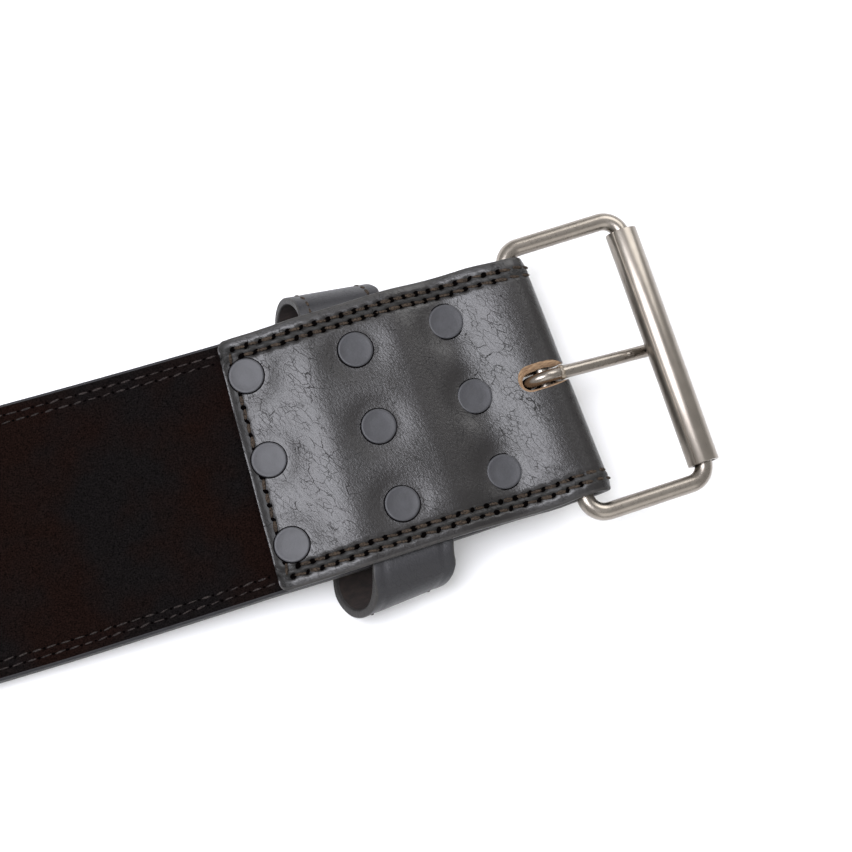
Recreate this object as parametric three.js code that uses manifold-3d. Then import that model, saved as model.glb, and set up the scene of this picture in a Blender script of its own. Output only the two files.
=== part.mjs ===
// Weightlifting belt with a roller buckle, lying with its suede side up.
// Millimetres, +Z up. X runs along the belt toward the buckle and is 0 at the end of the flap.
// The finished group is moved at the end, so that its origin is the bottom centre of its box.

import * as THREE from 'three';
import { mergeVertices } from 'three/addons/utils/BufferGeometryUtils.js';
import Module from 'manifold-3d';

const wasm = await Module();
wasm.setup();

// Leather sizes
const BELT_WIDTH = 100;
const TAIL_LENGTH = 870; // from the end of the flap to the belt's free end
const OUTER_PLY = 4; // smooth leather, which also makes the fold and the flap
const INNER_PLY = 6; // suede faced leather
const SKIVED_EDGE = 1.2; // inner ply's thickness where it is pared away under the flap
const PLY_GAP = 0.3;
const TIP_CORNER = 30;
const FLAP_LENGTH = 130.5; // from its end to the outside of the fold
const FLAP_END_LEAN = 0.03; // the flap's end is cut out of square by this share of the width

// How the belt lies
const LIFT_RUN = 165; // the belt rises from the ground over this length before the flap
const LIFT_SHARE = 0.78; // share of the keeper's standing height reached at the flap's end
const BAR_HEIGHT = 24.5; // the buckle's bar above the ground

// Fold round the bar
const FOLD_CLEARANCE = 0.6; // above and below the bar
const FOLD_SLACK = 2; // beyond the bar
const FOLD_NARROWING = 2.7; // the leather is drawn in by this much at each edge
const SLOT_WIDTH = 9;
const SLOT_BACK = 11.5; // from the bar's axis to the slot's end in the flap
const SLOT_BACK_BELOW = 15; // the same in the ply under it

// Keeper loop
const KEEPER_WIDTH = 33;
const KEEPER_WALL = 3;
const TAIL_GAP = 12; // room for the belt's other end
const KEEPER_BULGE = 13.8; // beyond each edge of the belt
const KEEPER_SLEW = 7; // its lower run has slid this far toward the tail
const KEEPER_STEP = 14; // the flap climbs onto the keeper over this length

// Buckle
const WIRE = 7;
const FRAME_REACH = 49.5; // from the bar's axis to the roller's axis
const FRAME_CORNER = 7.5; // centreline radius
const FRAME_SIDE_GAP = 1; // from the belt's edge to the frame's side bar
const FRAME_OFFSET = 1.6; // the frame has slid along its bar by this much
const BUCKLE_YAW_DEG = 1.9; // the fold and the buckle are turned in the belt's plane
const ROLLER_DIAMETER = 12;
const ROLLER_WALL = 1.6;
const ROLLER_END_GAP = 2;
const PRONG_WIRE = 6;
const PRONG_EYE_GAP = 0.45;
const PRONG_ROLLER_GAP = 0.4;
const PRONG_TIP_PAST_ROLLER = 3; // beyond the roller's axis

// Rivets: each column's place along the flap and its outer rivets' place across the belt,
// as shares of the flap's length and of half the belt's width
const RIVET_COLUMNS = [
  { name: 'end', along: 0.063, across: 0.676, shift: -0.026 },
  { name: 'keeper', along: 0.397, across: 0.624, shift: -0.022 },
  { name: 'fold', along: 0.705, across: 0.628, shift: 0.012 },
];
const RIVET_HEAD = 13.7;
const RIVET_HEAD_THICKNESS = 1.2;
const RIVET_HEAD_BEVEL = 0.3;
const RIVET_BACK = 12;
const RIVET_BACK_THICKNESS = 1;
const RIVET_SHANK = 3.2;
const RIVET_SEAT = 0.6; // depth of each head in the leather

// Prong holes
const HOLE_COUNT = 10;
const HOLE_PITCH = 25;
const HOLE_DIAMETER = 8.5;
const FIRST_HOLE = 75; // from the belt's free end

// Sizes that follow
const HALF_WIDTH = BELT_WIDTH / 2;
const FOLD_INNER = { reach: WIRE / 2 + FOLD_SLACK, rise: WIRE / 2 + FOLD_CLEARANCE };
const FOLD_OUTER = { reach: FOLD_INNER.reach + OUTER_PLY, rise: FOLD_INNER.rise + OUTER_PLY };
const BAR_X = FLAP_LENGTH - FOLD_OUTER.reach;
const BUCKLE_YAW = THREE.MathUtils.degToRad(BUCKLE_YAW_DEG);
const COLUMN_X = RIVET_COLUMNS.map((column) => column.along * FLAP_LENGTH);
const KEEPER_LEFT = COLUMN_X[1] - KEEPER_WIDTH / 2;
const KEEPER_RIGHT = COLUMN_X[1] + KEEPER_WIDTH / 2;
const PINCH_X = COLUMN_X[2]; // the last rivets draw flap and strap together here
const PINCH_Z = BAR_HEIGHT - PLY_GAP / 2 - OUTER_PLY;
const RIVET_SEAT_RADIUS = RIVET_HEAD / 2 + PLY_GAP;
const INNER_PLY_END = PINCH_X - RIVET_SEAT_RADIUS - PLY_GAP;
const KEEPER_STAND = KEEPER_WALL + TAIL_GAP;
const TWO_PLIES = OUTER_PLY + PLY_GAP + INNER_PLY;
const KEEPER_HEIGHT = KEEPER_STAND + TWO_PLIES + PLY_GAP + KEEPER_WALL;
const FRAME_HALF = HALF_WIDTH + FRAME_SIDE_GAP + WIRE / 2; // to the side bars' centreline

const ARC_STEPS = 8;
const ROUND_SIDES = 18;

// Easing between two stations along the belt
function ease(share) {
  return (1 - Math.cos(Math.PI * THREE.MathUtils.clamp(share, 0, 1))) / 2;
}

function easeBetween(x, from, to, valueFrom, valueTo) {
  return valueFrom + (valueTo - valueFrom) * ease((x - from) / (to - from));
}

// Height of the smooth ply's underside along the belt
function underside(x) {
  const flapEnd = LIFT_SHARE * KEEPER_STAND;
  if (x <= -LIFT_RUN) return 0;
  if (x <= 0) return flapEnd * ((x + LIFT_RUN) / LIFT_RUN) ** 2;
  if (x <= KEEPER_LEFT) {
    const t = x / KEEPER_LEFT;
    const climb = (2 * flapEnd * KEEPER_LEFT) / LIFT_RUN;
    const level = 3 * t ** 2 - 2 * t ** 3;
    return flapEnd + (KEEPER_STAND - flapEnd) * level + climb * (t ** 3 - 2 * t ** 2 + t);
  }
  if (x <= KEEPER_RIGHT) return KEEPER_STAND;
  if (x <= PINCH_X) return easeBetween(x, KEEPER_RIGHT, PINCH_X, KEEPER_STAND, PINCH_Z);
  return easeBetween(x, PINCH_X, BAR_X, PINCH_Z, BAR_HEIGHT - FOLD_OUTER.rise);
}

// Height of the flap's upper face, from its end to the bar
function flapTop(x) {
  const onKeeper = KEEPER_HEIGHT + PLY_GAP + OUTER_PLY;
  const pinched = BAR_HEIGHT + PLY_GAP / 2 + OUTER_PLY;
  if (x <= KEEPER_LEFT) {
    const step = easeBetween(x, KEEPER_LEFT - KEEPER_STEP, KEEPER_LEFT, 0, KEEPER_WALL + PLY_GAP);
    return underside(x) + TWO_PLIES + PLY_GAP + OUTER_PLY + step;
  }
  if (x <= KEEPER_RIGHT) return onKeeper;
  if (x <= PINCH_X) return easeBetween(x, KEEPER_RIGHT, PINCH_X, onKeeper, pinched);
  return easeBetween(x, PINCH_X, BAR_X, pinched, BAR_HEIGHT + FOLD_OUTER.rise);
}

// Plan of the leather: lean of a line drawn across the belt, and half width, at a station
function lean(x) {
  const atBuckle = -Math.tan(BUCKLE_YAW);
  if (x <= 0) return FLAP_END_LEAN * THREE.MathUtils.clamp(1 + x / FLAP_LENGTH, 0, 1);
  if (x <= COLUMN_X[1]) return FLAP_END_LEAN * (1 - x / COLUMN_X[1]);
  return atBuckle * Math.min((x - COLUMN_X[1]) / (PINCH_X - COLUMN_X[1]), 1);
}

function halfWidth(x) {
  const fromTip = x + TAIL_LENGTH;
  if (fromTip < TIP_CORNER) {
    return HALF_WIDTH - TIP_CORNER + Math.sqrt(TIP_CORNER ** 2 - (TIP_CORNER - fromTip) ** 2);
  }
  return HALF_WIDTH - easeBetween(x, PINCH_X, BAR_X - FOLD_INNER.reach, 0, FOLD_NARROWING);
}

// Stations at which the leather's outlines are drawn
function stations(from, to) {
  const list = [];
  for (let i = 0; i <= ARC_STEPS; i += 1) {
    list.push(-TAIL_LENGTH + TIP_CORNER * (1 - Math.cos((Math.PI / 2) * (i / ARC_STEPS))));
  }
  const liftSteps = 12;
  for (let i = 0; i <= liftSteps; i += 1) list.push(-LIFT_RUN * (1 - i / liftSteps));
  const flapSteps = 26;
  for (let i = 1; i < flapSteps; i += 1) list.push((BAR_X * i) / flapSteps);
  list.push(KEEPER_LEFT, KEEPER_RIGHT, PINCH_X);
  const inside = list.filter((x) => x > from + PLY_GAP && x < to - PLY_GAP);
  return [from, ...inside.sort((a, b) => a - b), to];
}

// A side outline carried across the belt, then shaped to the belt's plan
function leatherFromSide(points) {
  const steps = 2;
  const geometry = new THREE.ExtrudeGeometry(new THREE.Shape(points), {
    depth: BELT_WIDTH, steps, bevelEnabled: false,
  });
  const toBelt = new THREE.Matrix4().makeBasis(
    new THREE.Vector3(1, 0, 0), new THREE.Vector3(0, 0, 1), new THREE.Vector3(0, -1, 0),
  );
  geometry.applyMatrix4(toBelt);
  geometry.translate(0, HALF_WIDTH, 0);
  const position = geometry.attributes.position;
  for (let i = 0; i < position.count; i += 1) {
    const x = position.getX(i);
    const y = (position.getY(i) * halfWidth(x)) / HALF_WIDTH;
    position.setX(i, x + lean(x) * y);
    position.setY(i, y);
  }
  return geometry;
}

// Closed solids and boolean cuts
function toSolid(geometry) {
  const bare = geometry.clone();
  bare.deleteAttribute('normal');
  bare.deleteAttribute('uv');
  const merged = mergeVertices(bare, 1e-4);
  return new wasm.Manifold(new wasm.Mesh({
    numProp: 3,
    vertProperties: new Float32Array(merged.attributes.position.array),
    triVerts: new Uint32Array(merged.index.array),
  }));
}

function toGeometry(solid) {
  const mesh = solid.getMesh();
  const geometry = new THREE.BufferGeometry();
  geometry.setAttribute('position', new THREE.BufferAttribute(new Float32Array(mesh.vertProperties), 3));
  geometry.setIndex(new THREE.BufferAttribute(new Uint32Array(mesh.triVerts), 1));
  geometry.computeVertexNormals();
  return geometry;
}

function cutAway(geometry, cutters) {
  return toGeometry(cutters.reduce((solid, cutter) => solid.subtract(cutter), toSolid(geometry)));
}

// Leather plies
function arcPoints({ reach, rise }, fromDegrees, toDegrees) {
  const points = [];
  for (let i = 1; i < ARC_STEPS; i += 1) {
    const angle = THREE.MathUtils.degToRad(
      THREE.MathUtils.lerp(fromDegrees, toDegrees, i / ARC_STEPS),
    );
    points.push(new THREE.Vector2(BAR_X + reach * Math.cos(angle), BAR_HEIGHT + rise * Math.sin(angle)));
  }
  return points;
}

function outerStrapGeometry() {
  const strap = stations(-TAIL_LENGTH, BAR_X);
  const flap = stations(0, BAR_X);
  const line = (list, height) => list.map((x) => new THREE.Vector2(x, height(x)));
  return leatherFromSide([
    ...line(strap, underside),
    ...arcPoints(FOLD_OUTER, -90, 90),
    ...line([...flap].reverse(), flapTop),
    ...line(flap, (x) => flapTop(x) - OUTER_PLY),
    ...arcPoints(FOLD_INNER, 90, -90),
    ...line([...strap].reverse(), (x) => underside(x) + OUTER_PLY),
  ]);
}

function innerPlyGeometry() {
  const list = stations(-TAIL_LENGTH, INNER_PLY_END);
  const floor = (x) => underside(x) + OUTER_PLY + PLY_GAP;
  const thickness = (x) => {
    const share = THREE.MathUtils.clamp((x - KEEPER_RIGHT) / (INNER_PLY_END - KEEPER_RIGHT), 0, 1);
    return THREE.MathUtils.lerp(INNER_PLY, SKIVED_EDGE, share);
  };
  return leatherFromSide([
    ...list.map((x) => new THREE.Vector2(x, floor(x))),
    ...[...list].reverse().map((x) => new THREE.Vector2(x, floor(x) + thickness(x))),
  ]);
}

// Keeper: a closed band, standing on the ground, round under the belt
function keeperOutline(path, inset) {
  const radius = KEEPER_HEIGHT / 2 - inset;
  const centre = HALF_WIDTH + KEEPER_BULGE - KEEPER_HEIGHT / 2;
  path.absarc(centre, KEEPER_HEIGHT / 2, radius, -Math.PI / 2, Math.PI / 2, false);
  path.absarc(-centre, KEEPER_HEIGHT / 2, radius, Math.PI / 2, Math.PI * 1.5, false);
  path.closePath();
  return path;
}

function keeperGeometry() {
  const band = keeperOutline(new THREE.Shape(), 0);
  band.holes.push(keeperOutline(new THREE.Path(), KEEPER_WALL));
  const geometry = new THREE.ExtrudeGeometry(band, {
    depth: KEEPER_WIDTH, steps: 1, bevelEnabled: false, curveSegments: 14,
  });
  const toBelt = new THREE.Matrix4().makeBasis(
    new THREE.Vector3(0, 1, 0), new THREE.Vector3(0, 0, 1), new THREE.Vector3(1, 0, 0),
  );
  geometry.applyMatrix4(toBelt);
  geometry.translate(KEEPER_LEFT, 0, 0);
  const position = geometry.attributes.position;
  for (let i = 0; i < position.count; i += 1) {
    const below = 1 - Math.min(position.getZ(i) / (KEEPER_HEIGHT - KEEPER_WALL), 1);
    position.setX(i, position.getX(i) - KEEPER_SLEW * below);
  }
  return geometry;
}

// Rivets: a flat head on the flap, a shank, and a smaller head on the belt's outer side.
// The axis is +Z and the flap's face is at 0. A grown rivet is the room that the leather leaves.
function rivetGeometry(grip, growth, room) {
  const head = RIVET_HEAD / 2 + growth;
  const back = RIVET_BACK / 2 + growth;
  const shank = RIVET_SHANK / 2 + growth;
  const bevel = growth > 0 ? 0 : RIVET_HEAD_BEVEL;
  const seat = -RIVET_SEAT - growth;
  const top = RIVET_HEAD_THICKNESS - RIVET_SEAT + room;
  const backSeat = -grip + RIVET_SEAT + growth;
  const bottom = -grip + RIVET_SEAT - RIVET_BACK_THICKNESS - room;
  const profile = [
    [0, bottom], [back - bevel, bottom], [back, bottom + bevel], [back, backSeat],
    [shank, backSeat], [shank, seat], [head, seat], [head, top - bevel], [head - bevel, top], [0, top],
  ];
  const points = profile.map(([r, z]) => new THREE.Vector2(r, z));
  const unique = points.filter((p, i) => i === 0 || p.distanceTo(points[i - 1]) > 0);
  const geometry = new THREE.LatheGeometry(unique, ROUND_SIDES);
  geometry.rotateX(Math.PI / 2);
  return geometry;
}

// Where each rivet stands: on the flap's face, its axis square to that face
function rivetPlaces() {
  const places = [];
  RIVET_COLUMNS.forEach((column, index) => {
    const x = COLUMN_X[index];
    const probe = 1;
    const tilt = -Math.atan((flapTop(x + probe) - flapTop(x - probe)) / (2 * probe));
    for (const row of [1, 0, -1]) {
      const y = HALF_WIDTH * (row * column.across + column.shift);
      places.push({
        position: new THREE.Vector3(x + lean(x) * y, y, flapTop(x)),
        tilt,
        grip: (flapTop(x) - underside(x)) * Math.cos(tilt),
      });
    }
  });
  return places;
}

function rivetRoom(place) {
  const clearOfFolds = 5;
  const geometry = rivetGeometry(place.grip, PLY_GAP, clearOfFolds);
  geometry.rotateY(place.tilt);
  geometry.translate(...place.position.toArray());
  return toSolid(geometry);
}

// Row of prong holes near the belt's free end
function prongHoleRoom(index) {
  const through = 4 * TWO_PLIES;
  const geometry = new THREE.CylinderGeometry(HOLE_DIAMETER / 2, HOLE_DIAMETER / 2, through, ROUND_SIDES);
  geometry.rotateX(Math.PI / 2);
  geometry.translate(-TAIL_LENGTH + FIRST_HOLE + index * HOLE_PITCH, 0, 0);
  return toSolid(geometry);
}

// Slot for the prong, over the fold: one length in the flap and another in the ply under it
function slotRoom() {
  const half = (back, from, height) => {
    const outline = new THREE.Shape();
    const end = FOLD_OUTER.reach + SLOT_WIDTH;
    const centre = SLOT_WIDTH / 2 - back;
    outline.absarc(centre, 0, SLOT_WIDTH / 2, Math.PI / 2, Math.PI * 1.5, false);
    outline.lineTo(end, -SLOT_WIDTH / 2);
    outline.lineTo(end, SLOT_WIDTH / 2);
    const geometry = new THREE.ExtrudeGeometry(outline, { depth: height, bevelEnabled: false });
    geometry.translate(0, 0, from);
    geometry.rotateZ(BUCKLE_YAW);
    geometry.translate(BAR_X, 0, BAR_HEIGHT);
    return toSolid(geometry);
  };
  const height = 2 * FOLD_OUTER.rise;
  return half(SLOT_BACK, 0, height).add(half(SLOT_BACK_BELOW, -height, height + PLY_GAP));
}

// Frame: one closed loop of wire, in the plane z = 0, with its bar on the Y axis
function frameGeometry() {
  const corners = [
    { x: FRAME_REACH, y: 1, start: 0 },
    { x: 0, y: 1, start: 90 },
    { x: 0, y: -1, start: 180 },
    { x: FRAME_REACH, y: -1, start: 270 },
  ];
  const cornerSteps = 6;
  const rings = [];
  for (const { x, y, start } of corners) {
    const centreX = x > 0 ? x - FRAME_CORNER : FRAME_CORNER;
    const centreY = y * (FRAME_HALF - FRAME_CORNER);
    for (let i = 0; i <= cornerSteps; i += 1) {
      const angle = THREE.MathUtils.degToRad(start + (90 * i) / cornerSteps);
      rings.push({ centreX, centreY, outward: new THREE.Vector3(Math.cos(angle), Math.sin(angle), 0) });
    }
  }
  const sides = 12;
  const vertices = [];
  for (const { centreX, centreY, outward } of rings) {
    for (let j = 0; j < sides; j += 1) {
      const around = (2 * Math.PI * j) / sides;
      const out = FRAME_CORNER + (WIRE / 2) * Math.cos(around);
      vertices.push(centreX + outward.x * out, centreY + outward.y * out, (WIRE / 2) * Math.sin(around));
    }
  }
  const triangles = [];
  for (let i = 0; i < rings.length; i += 1) {
    const next = (i + 1) % rings.length;
    for (let j = 0; j < sides; j += 1) {
      const k = (j + 1) % sides;
      const [a, b, c, d] = [i * sides + j, next * sides + j, next * sides + k, i * sides + k];
      triangles.push(a, b, c, a, c, d);
    }
  }
  const geometry = new THREE.BufferGeometry();
  geometry.setAttribute('position', new THREE.Float32BufferAttribute(vertices, 3));
  geometry.setIndex(triangles);
  geometry.computeVertexNormals();
  return geometry;
}

// Roller: a tube whose axis is Y
function rollerGeometry() {
  const half = HALF_WIDTH + FRAME_SIDE_GAP - ROLLER_END_GAP;
  const outer = ROLLER_DIAMETER / 2;
  const bore = outer - ROLLER_WALL;
  const profile = [[bore, -half], [outer, -half], [outer, half], [bore, half], [bore, -half]];
  return new THREE.LatheGeometry(profile.map(([r, y]) => new THREE.Vector2(r, y)), ROUND_SIDES);
}

// Prong: an eye round the bar, and a shank that leaves its top and passes under the roller.
// The bar's axis is Y through the origin.
function prongGeometry() {
  const radius = PRONG_WIRE / 2;
  const eye = WIRE / 2 + PRONG_EYE_GAP + radius;
  const eyeRing = new THREE.TorusGeometry(eye, radius, 12, ROUND_SIDES);
  eyeRing.rotateX(Math.PI / 2);
  const below = ROLLER_DIAMETER / 2 + PRONG_ROLLER_GAP + radius;
  const fall = Math.asin((eye + below) / FRAME_REACH);
  const length = FRAME_REACH * Math.cos(fall) + PRONG_TIP_PAST_ROLLER;
  const tip = radius * 0.8;
  const outline = [[0, 0], [radius, 0], [radius, length - tip]];
  const tipSteps = 5;
  for (let i = 1; i <= tipSteps; i += 1) {
    const angle = (Math.PI / 2) * (i / tipSteps);
    outline.push([radius * Math.cos(angle), length - tip + tip * Math.sin(angle)]);
  }
  outline[outline.length - 1][0] = 0;
  const shank = new THREE.LatheGeometry(outline.map(([r, y]) => new THREE.Vector2(r, y)), 12);
  shank.rotateZ(-Math.PI / 2);
  shank.translate(0, 0, eye);
  shank.rotateY(fall);
  return toGeometry(toSolid(eyeRing).add(toSolid(shank)));
}

// Finishes
function finish(color, roughness, metalness) {
  return new THREE.MeshStandardMaterial({ color, roughness, metalness });
}

const SMOOTH_LEATHER = finish('#38363a', 0.5, 0);
const SUEDE = finish('#1b1110', 1, 0);
const KEEPER_LEATHER = finish('#3c3b40', 0.6, 0);
const SATIN_NICKEL = finish('#a09a92', 0.35, 1);
const BLACK_RIVET = finish('#55555a', 0.6, 0.4);

function piece(name, geometry, material) {
  const mesh = new THREE.Mesh(geometry, material);
  mesh.name = name;
  return mesh;
}

// Assembly
function buildBelt() {
  const belt = new THREE.Group();
  const places = rivetPlaces();
  const rivetRooms = places.map(rivetRoom);
  const prongHoles = Array.from({ length: HOLE_COUNT }, (unused, index) => prongHoleRoom(index));
  const strapCuts = [...rivetRooms, ...prongHoles, slotRoom()];
  belt.add(piece('outer_strap', cutAway(outerStrapGeometry(), strapCuts), SMOOTH_LEATHER));
  belt.add(piece('inner_ply', cutAway(innerPlyGeometry(), [...rivetRooms, ...prongHoles]), SUEDE));
  belt.add(piece('keeper_loop', cutAway(keeperGeometry(), rivetRooms), KEEPER_LEATHER));
  places.forEach((place, index) => {
    const rivet = piece(`rivet_${index + 1}`, rivetGeometry(place.grip, 0, 0), BLACK_RIVET);
    rivet.position.copy(place.position);
    rivet.rotation.y = place.tilt;
    belt.add(rivet);
  });
  belt.add(buildBuckle());
  return belt;
}

function buildBuckle() {
  const buckle = new THREE.Group();
  const frame = piece('buckle_frame', frameGeometry(), SATIN_NICKEL);
  frame.position.y = -FRAME_OFFSET;
  const roller = piece('roller', rollerGeometry(), SATIN_NICKEL);
  roller.position.set(FRAME_REACH, -FRAME_OFFSET, 0);
  buckle.add(frame, roller, piece('prong', prongGeometry(), SATIN_NICKEL));
  buckle.position.set(BAR_X, 0, BAR_HEIGHT);
  buckle.rotation.z = BUCKLE_YAW;
  return buckle;
}

const belt = buildBelt();
const box = new THREE.Box3().setFromObject(belt);
const middle = box.getCenter(new THREE.Vector3());
belt.position.set(-middle.x, -middle.y, -box.min.z);

export default belt;
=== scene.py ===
"""Looks of a weightlifting belt: the buckle end with its riveted flap, the keeper, the buckle and the tail.

Sizes are in millimetres. Shapes are worked out in the belt's own frame, where X is 0 at the end of the flap,
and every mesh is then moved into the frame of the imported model, in metres.
"""

import math

import bmesh
import bpy
import numpy as np
from mathutils import Matrix, Vector


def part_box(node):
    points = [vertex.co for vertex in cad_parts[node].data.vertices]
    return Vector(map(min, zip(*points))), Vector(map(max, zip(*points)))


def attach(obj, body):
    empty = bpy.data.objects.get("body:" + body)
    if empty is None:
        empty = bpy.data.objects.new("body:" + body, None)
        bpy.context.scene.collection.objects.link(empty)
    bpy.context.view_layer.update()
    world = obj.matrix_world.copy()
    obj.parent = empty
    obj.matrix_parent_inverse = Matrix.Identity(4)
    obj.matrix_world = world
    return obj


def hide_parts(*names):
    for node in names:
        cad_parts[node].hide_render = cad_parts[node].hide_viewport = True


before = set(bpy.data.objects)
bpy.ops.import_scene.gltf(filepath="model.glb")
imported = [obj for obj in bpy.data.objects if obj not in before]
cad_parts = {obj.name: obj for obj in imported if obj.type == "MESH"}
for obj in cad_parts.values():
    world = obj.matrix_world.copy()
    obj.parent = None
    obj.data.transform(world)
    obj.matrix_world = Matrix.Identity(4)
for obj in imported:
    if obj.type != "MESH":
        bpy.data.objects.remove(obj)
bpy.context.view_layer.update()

MM = 0.001

# Leather sizes
TAIL_LENGTH = 870
OUTER_PLY = 4
INNER_PLY = 6
SKIVED_EDGE = 1.2
PLY_GAP = 0.3
TIP_CORNER = 30
FLAP_LENGTH = 130.5
FLAP_END_LEAN = 0.03
FLAP_CORNER = 3.5
EDGE_ROUND = 1.1

# How the belt lies
LIFT_RUN = 165
LIFT_SHARE = 0.78
DRIFT = (-1.4, 0.2)  # to the side, before and past the run
DRIFT_RUN = (15, 95)
TAIL_WIDENING = 1.2
WIDENING_RUN = 85
BAR_HEIGHT = 24.5

# Fold and slot
FOLD_CLEARANCE = 1.4
FOLD_SLACK = 2
FOLD_NARROWING = 1.0
NARROWING_RUN = 16
FOLD_LEAN = math.radians(4.0)
SLOT_WIDTH = 9
SLOT_BACK = 11.5
SLOT_BACK_BELOW = 15
SLOT_TOP_GROWTH = 0.8
SLOT_WALL_SLANT = 1.6
SLOT_FOOT_NARROWING = 0.9
SLOT_SHIFT = (0.35, 0.85)  # at the foot and at the top of its wall

# Keeper
KEEPER_WIDTH = 33
KEEPER_WALL = 3
KEEPER_EDGE_ROUND = 0.7
TAIL_GAP = 12
KEEPER_BULGE = 13.8
KEEPER_SLEW = (7.5, 13.5)  # on the far side and on the near side
KEEPER_ASIDE = 2
ASIDE_START = 4
ASIDE_RUN = 10
KEEPER_STEP = 24
NEAR_BULGE = (4.9, 1.6)  # more than the half round, at its tail edge and its buckle edge
FAR_BULGE = (-3.2, -6.4)
BULGE_START = 6

# Buckle
WIRE = 7
FRAME_REACH = 49.5
FRAME_CORNER = 7.5
FRAME_SIDE_GAP = 1.7
FRAME_OFFSET = 1.6
BUCKLE_YAW = math.radians(1.9)
ROLLER_DIAMETER = 12.6
ROLLER_WALL = 1.6
ROLLER_END_GAP = 2.7
ROLLER_SEAM = 0.45
ROLLER_SEAM_ANGLE = 132
PRONG_WIRE = 6
PRONG_SHANK = 5.2
PRONG_EYE_WIDTH = 4.8
PRONG_EYE_GAP = 0.45
PRONG_ROLLER_GAP = 0.4
PRONG_TIP_PAST_ROLLER = 3
WELD_PLACE = 6.5
PRESS_MARK_TO_TIP = 13.5

# Rivets: each column's place along the flap and its outer rivets' place across the belt
RIVET_COLUMNS = [
    {"along": 0.063, "across": 0.676, "shift": -0.026},
    {"along": 0.397, "across": 0.624, "shift": -0.022},
    {"along": 0.705, "across": 0.628, "shift": 0.012},
]
RIVET_HEAD = 13.7
RIVET_HEAD_THICKNESS = 1.2
RIVET_HEAD_BEVEL = 0.35
RIVET_BACK = 12
RIVET_BACK_THICKNESS = 1
RIVET_SHANK = 3.2
RIVET_SEAT = 0.6
RIVET_RIM = 0.35
DENT_REACH = 5

# Prong holes
HOLE_COUNT = 10
HOLE_PITCH = 25
HOLE_DIAMETER = 8.5
FIRST_HOLE = 75

# Relief of the leather's faces
PUFF = 0.5
PUFF_RISE = (9, 8, 12)  # from the side rows, from the end and from the fold
END_BEVEL = 1.9
EDGE_BEVEL = 0.6
FLAP_FURROW = 0.45
FOLD_FURROW = 0.2
END_FURROW = 0.4
PLY_FURROW = 0.35
KEEPER_FURROW = 0.3
FURROW_REACH = 1.1
FOLD_FURROW_START = 14
FOLD_FURROW_REACH = 0.8
ROW_RIDGE = 0.2
ROW_RIDGE_REACH = 0.9
KEEPER_FURROW_REACH = 0.9
NEEDLE_PIT = 0.9
SEAM_FADE = 1.6
END_SEAM_HALF = 1.2

# Stitches, and grains of painted shade in the needle holes, each as length, width and height
STITCH_PITCH = 5.6
STITCH_LENGTH = 4.9
THREAD = 1.5
NEEDLE_HOLE = 2.8
FLAP_STITCH = (STITCH_LENGTH, THREAD, THREAD * 0.8)
FLAP_HOLE_SHADE = (NEEDLE_HOLE, NEEDLE_HOLE * 0.62, 0.8)
PLY_STITCH = (STITCH_LENGTH * 0.85, 0.75, 0.6)
PLY_HOLE_SHADE = (1.3, 1.0, 0.5)
KEEPER_STITCH = (STITCH_LENGTH * 0.8, THREAD * 0.85, THREAD * 0.8)

# Rows of stitches, by their distance from the edge
FLAP_ROWS = [4.6, 8.0]
END_ROW = 3.9
PLY_ROWS = [4.3, 7.3]
KEEPER_ROW = 4.6

# How finely the pieces are divided
EDGE_STEPS = 4
ACROSS_STEPS = (0.013, 0.026)  # shares of the half width, near the edges and elsewhere
ACROSS_FINE = 0.26
TIP_STEPS = 12
TIP_FIRST_ANGLE = 0.32
TAIL_STEP = 9
BEND_STEPS = (2, 5)  # near a bend of the lower run and elsewhere
BEND_REACH = 12
PLY_STEP = 4
FLAP_STEP = 1
FOLD_STEPS = 25
KEEPER_TURN_STEPS = 29
KEEPER_RUN_STEPS = 34
KEEPER_ACROSS_STEPS = 31

# Sizes that follow
BELT_WIDTH = (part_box("outer_strap")[1].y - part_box("outer_strap")[0].y) / MM
HALF_WIDTH = BELT_WIDTH / 2
ORIGIN_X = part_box("outer_strap")[0].x / MM + TAIL_LENGTH
FOLD_INNER = (WIRE / 2 + FOLD_SLACK, WIRE / 2 + FOLD_CLEARANCE)
FOLD_OUTER = (FOLD_INNER[0] + OUTER_PLY, FOLD_INNER[1] + OUTER_PLY)
BAR_X = FLAP_LENGTH - FOLD_OUTER[0]
COLUMN_X = [column["along"] * FLAP_LENGTH for column in RIVET_COLUMNS]
KEEPER_LEFT = COLUMN_X[1] - KEEPER_WIDTH / 2
KEEPER_RIGHT = COLUMN_X[1] + KEEPER_WIDTH / 2
PINCH_X = COLUMN_X[2]
PINCH_Z = BAR_HEIGHT - PLY_GAP / 2 - OUTER_PLY
INNER_PLY_END = PINCH_X - RIVET_HEAD / 2 - 2 * PLY_GAP
KEEPER_STAND = KEEPER_WALL + TAIL_GAP
TWO_PLIES = OUTER_PLY + PLY_GAP + INNER_PLY
KEEPER_HEIGHT = KEEPER_STAND + TWO_PLIES + PLY_GAP + KEEPER_WALL
FOLD_QUARTER = math.pi / 4 * (FOLD_OUTER[0] + FOLD_OUTER[1])
FRAME_HALF = HALF_WIDTH + FRAME_SIDE_GAP + WIRE / 2
FRAME_SHIFT = Matrix.Translation((0, -FRAME_OFFSET, 0))
BUCKLE_PLACE = Matrix.Translation((BAR_X, 0, BAR_HEIGHT)) @ Matrix.Rotation(BUCKLE_YAW, 4, "Z")
TO_FRAME = Matrix.Scale(MM, 4) @ Matrix.Translation((ORIGIN_X, 0, 0))


# Form of the lying belt
def ease(share):
    """A soft step from 0 to 1."""
    return (1 - np.cos(np.pi * np.clip(share, 0, 1))) / 2


def ease_between(x, start, end, value_start, value_end):
    """A value that changes softly from one place along the belt to another."""
    return value_start + (value_end - value_start) * ease((x - start) / (end - start))


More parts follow.
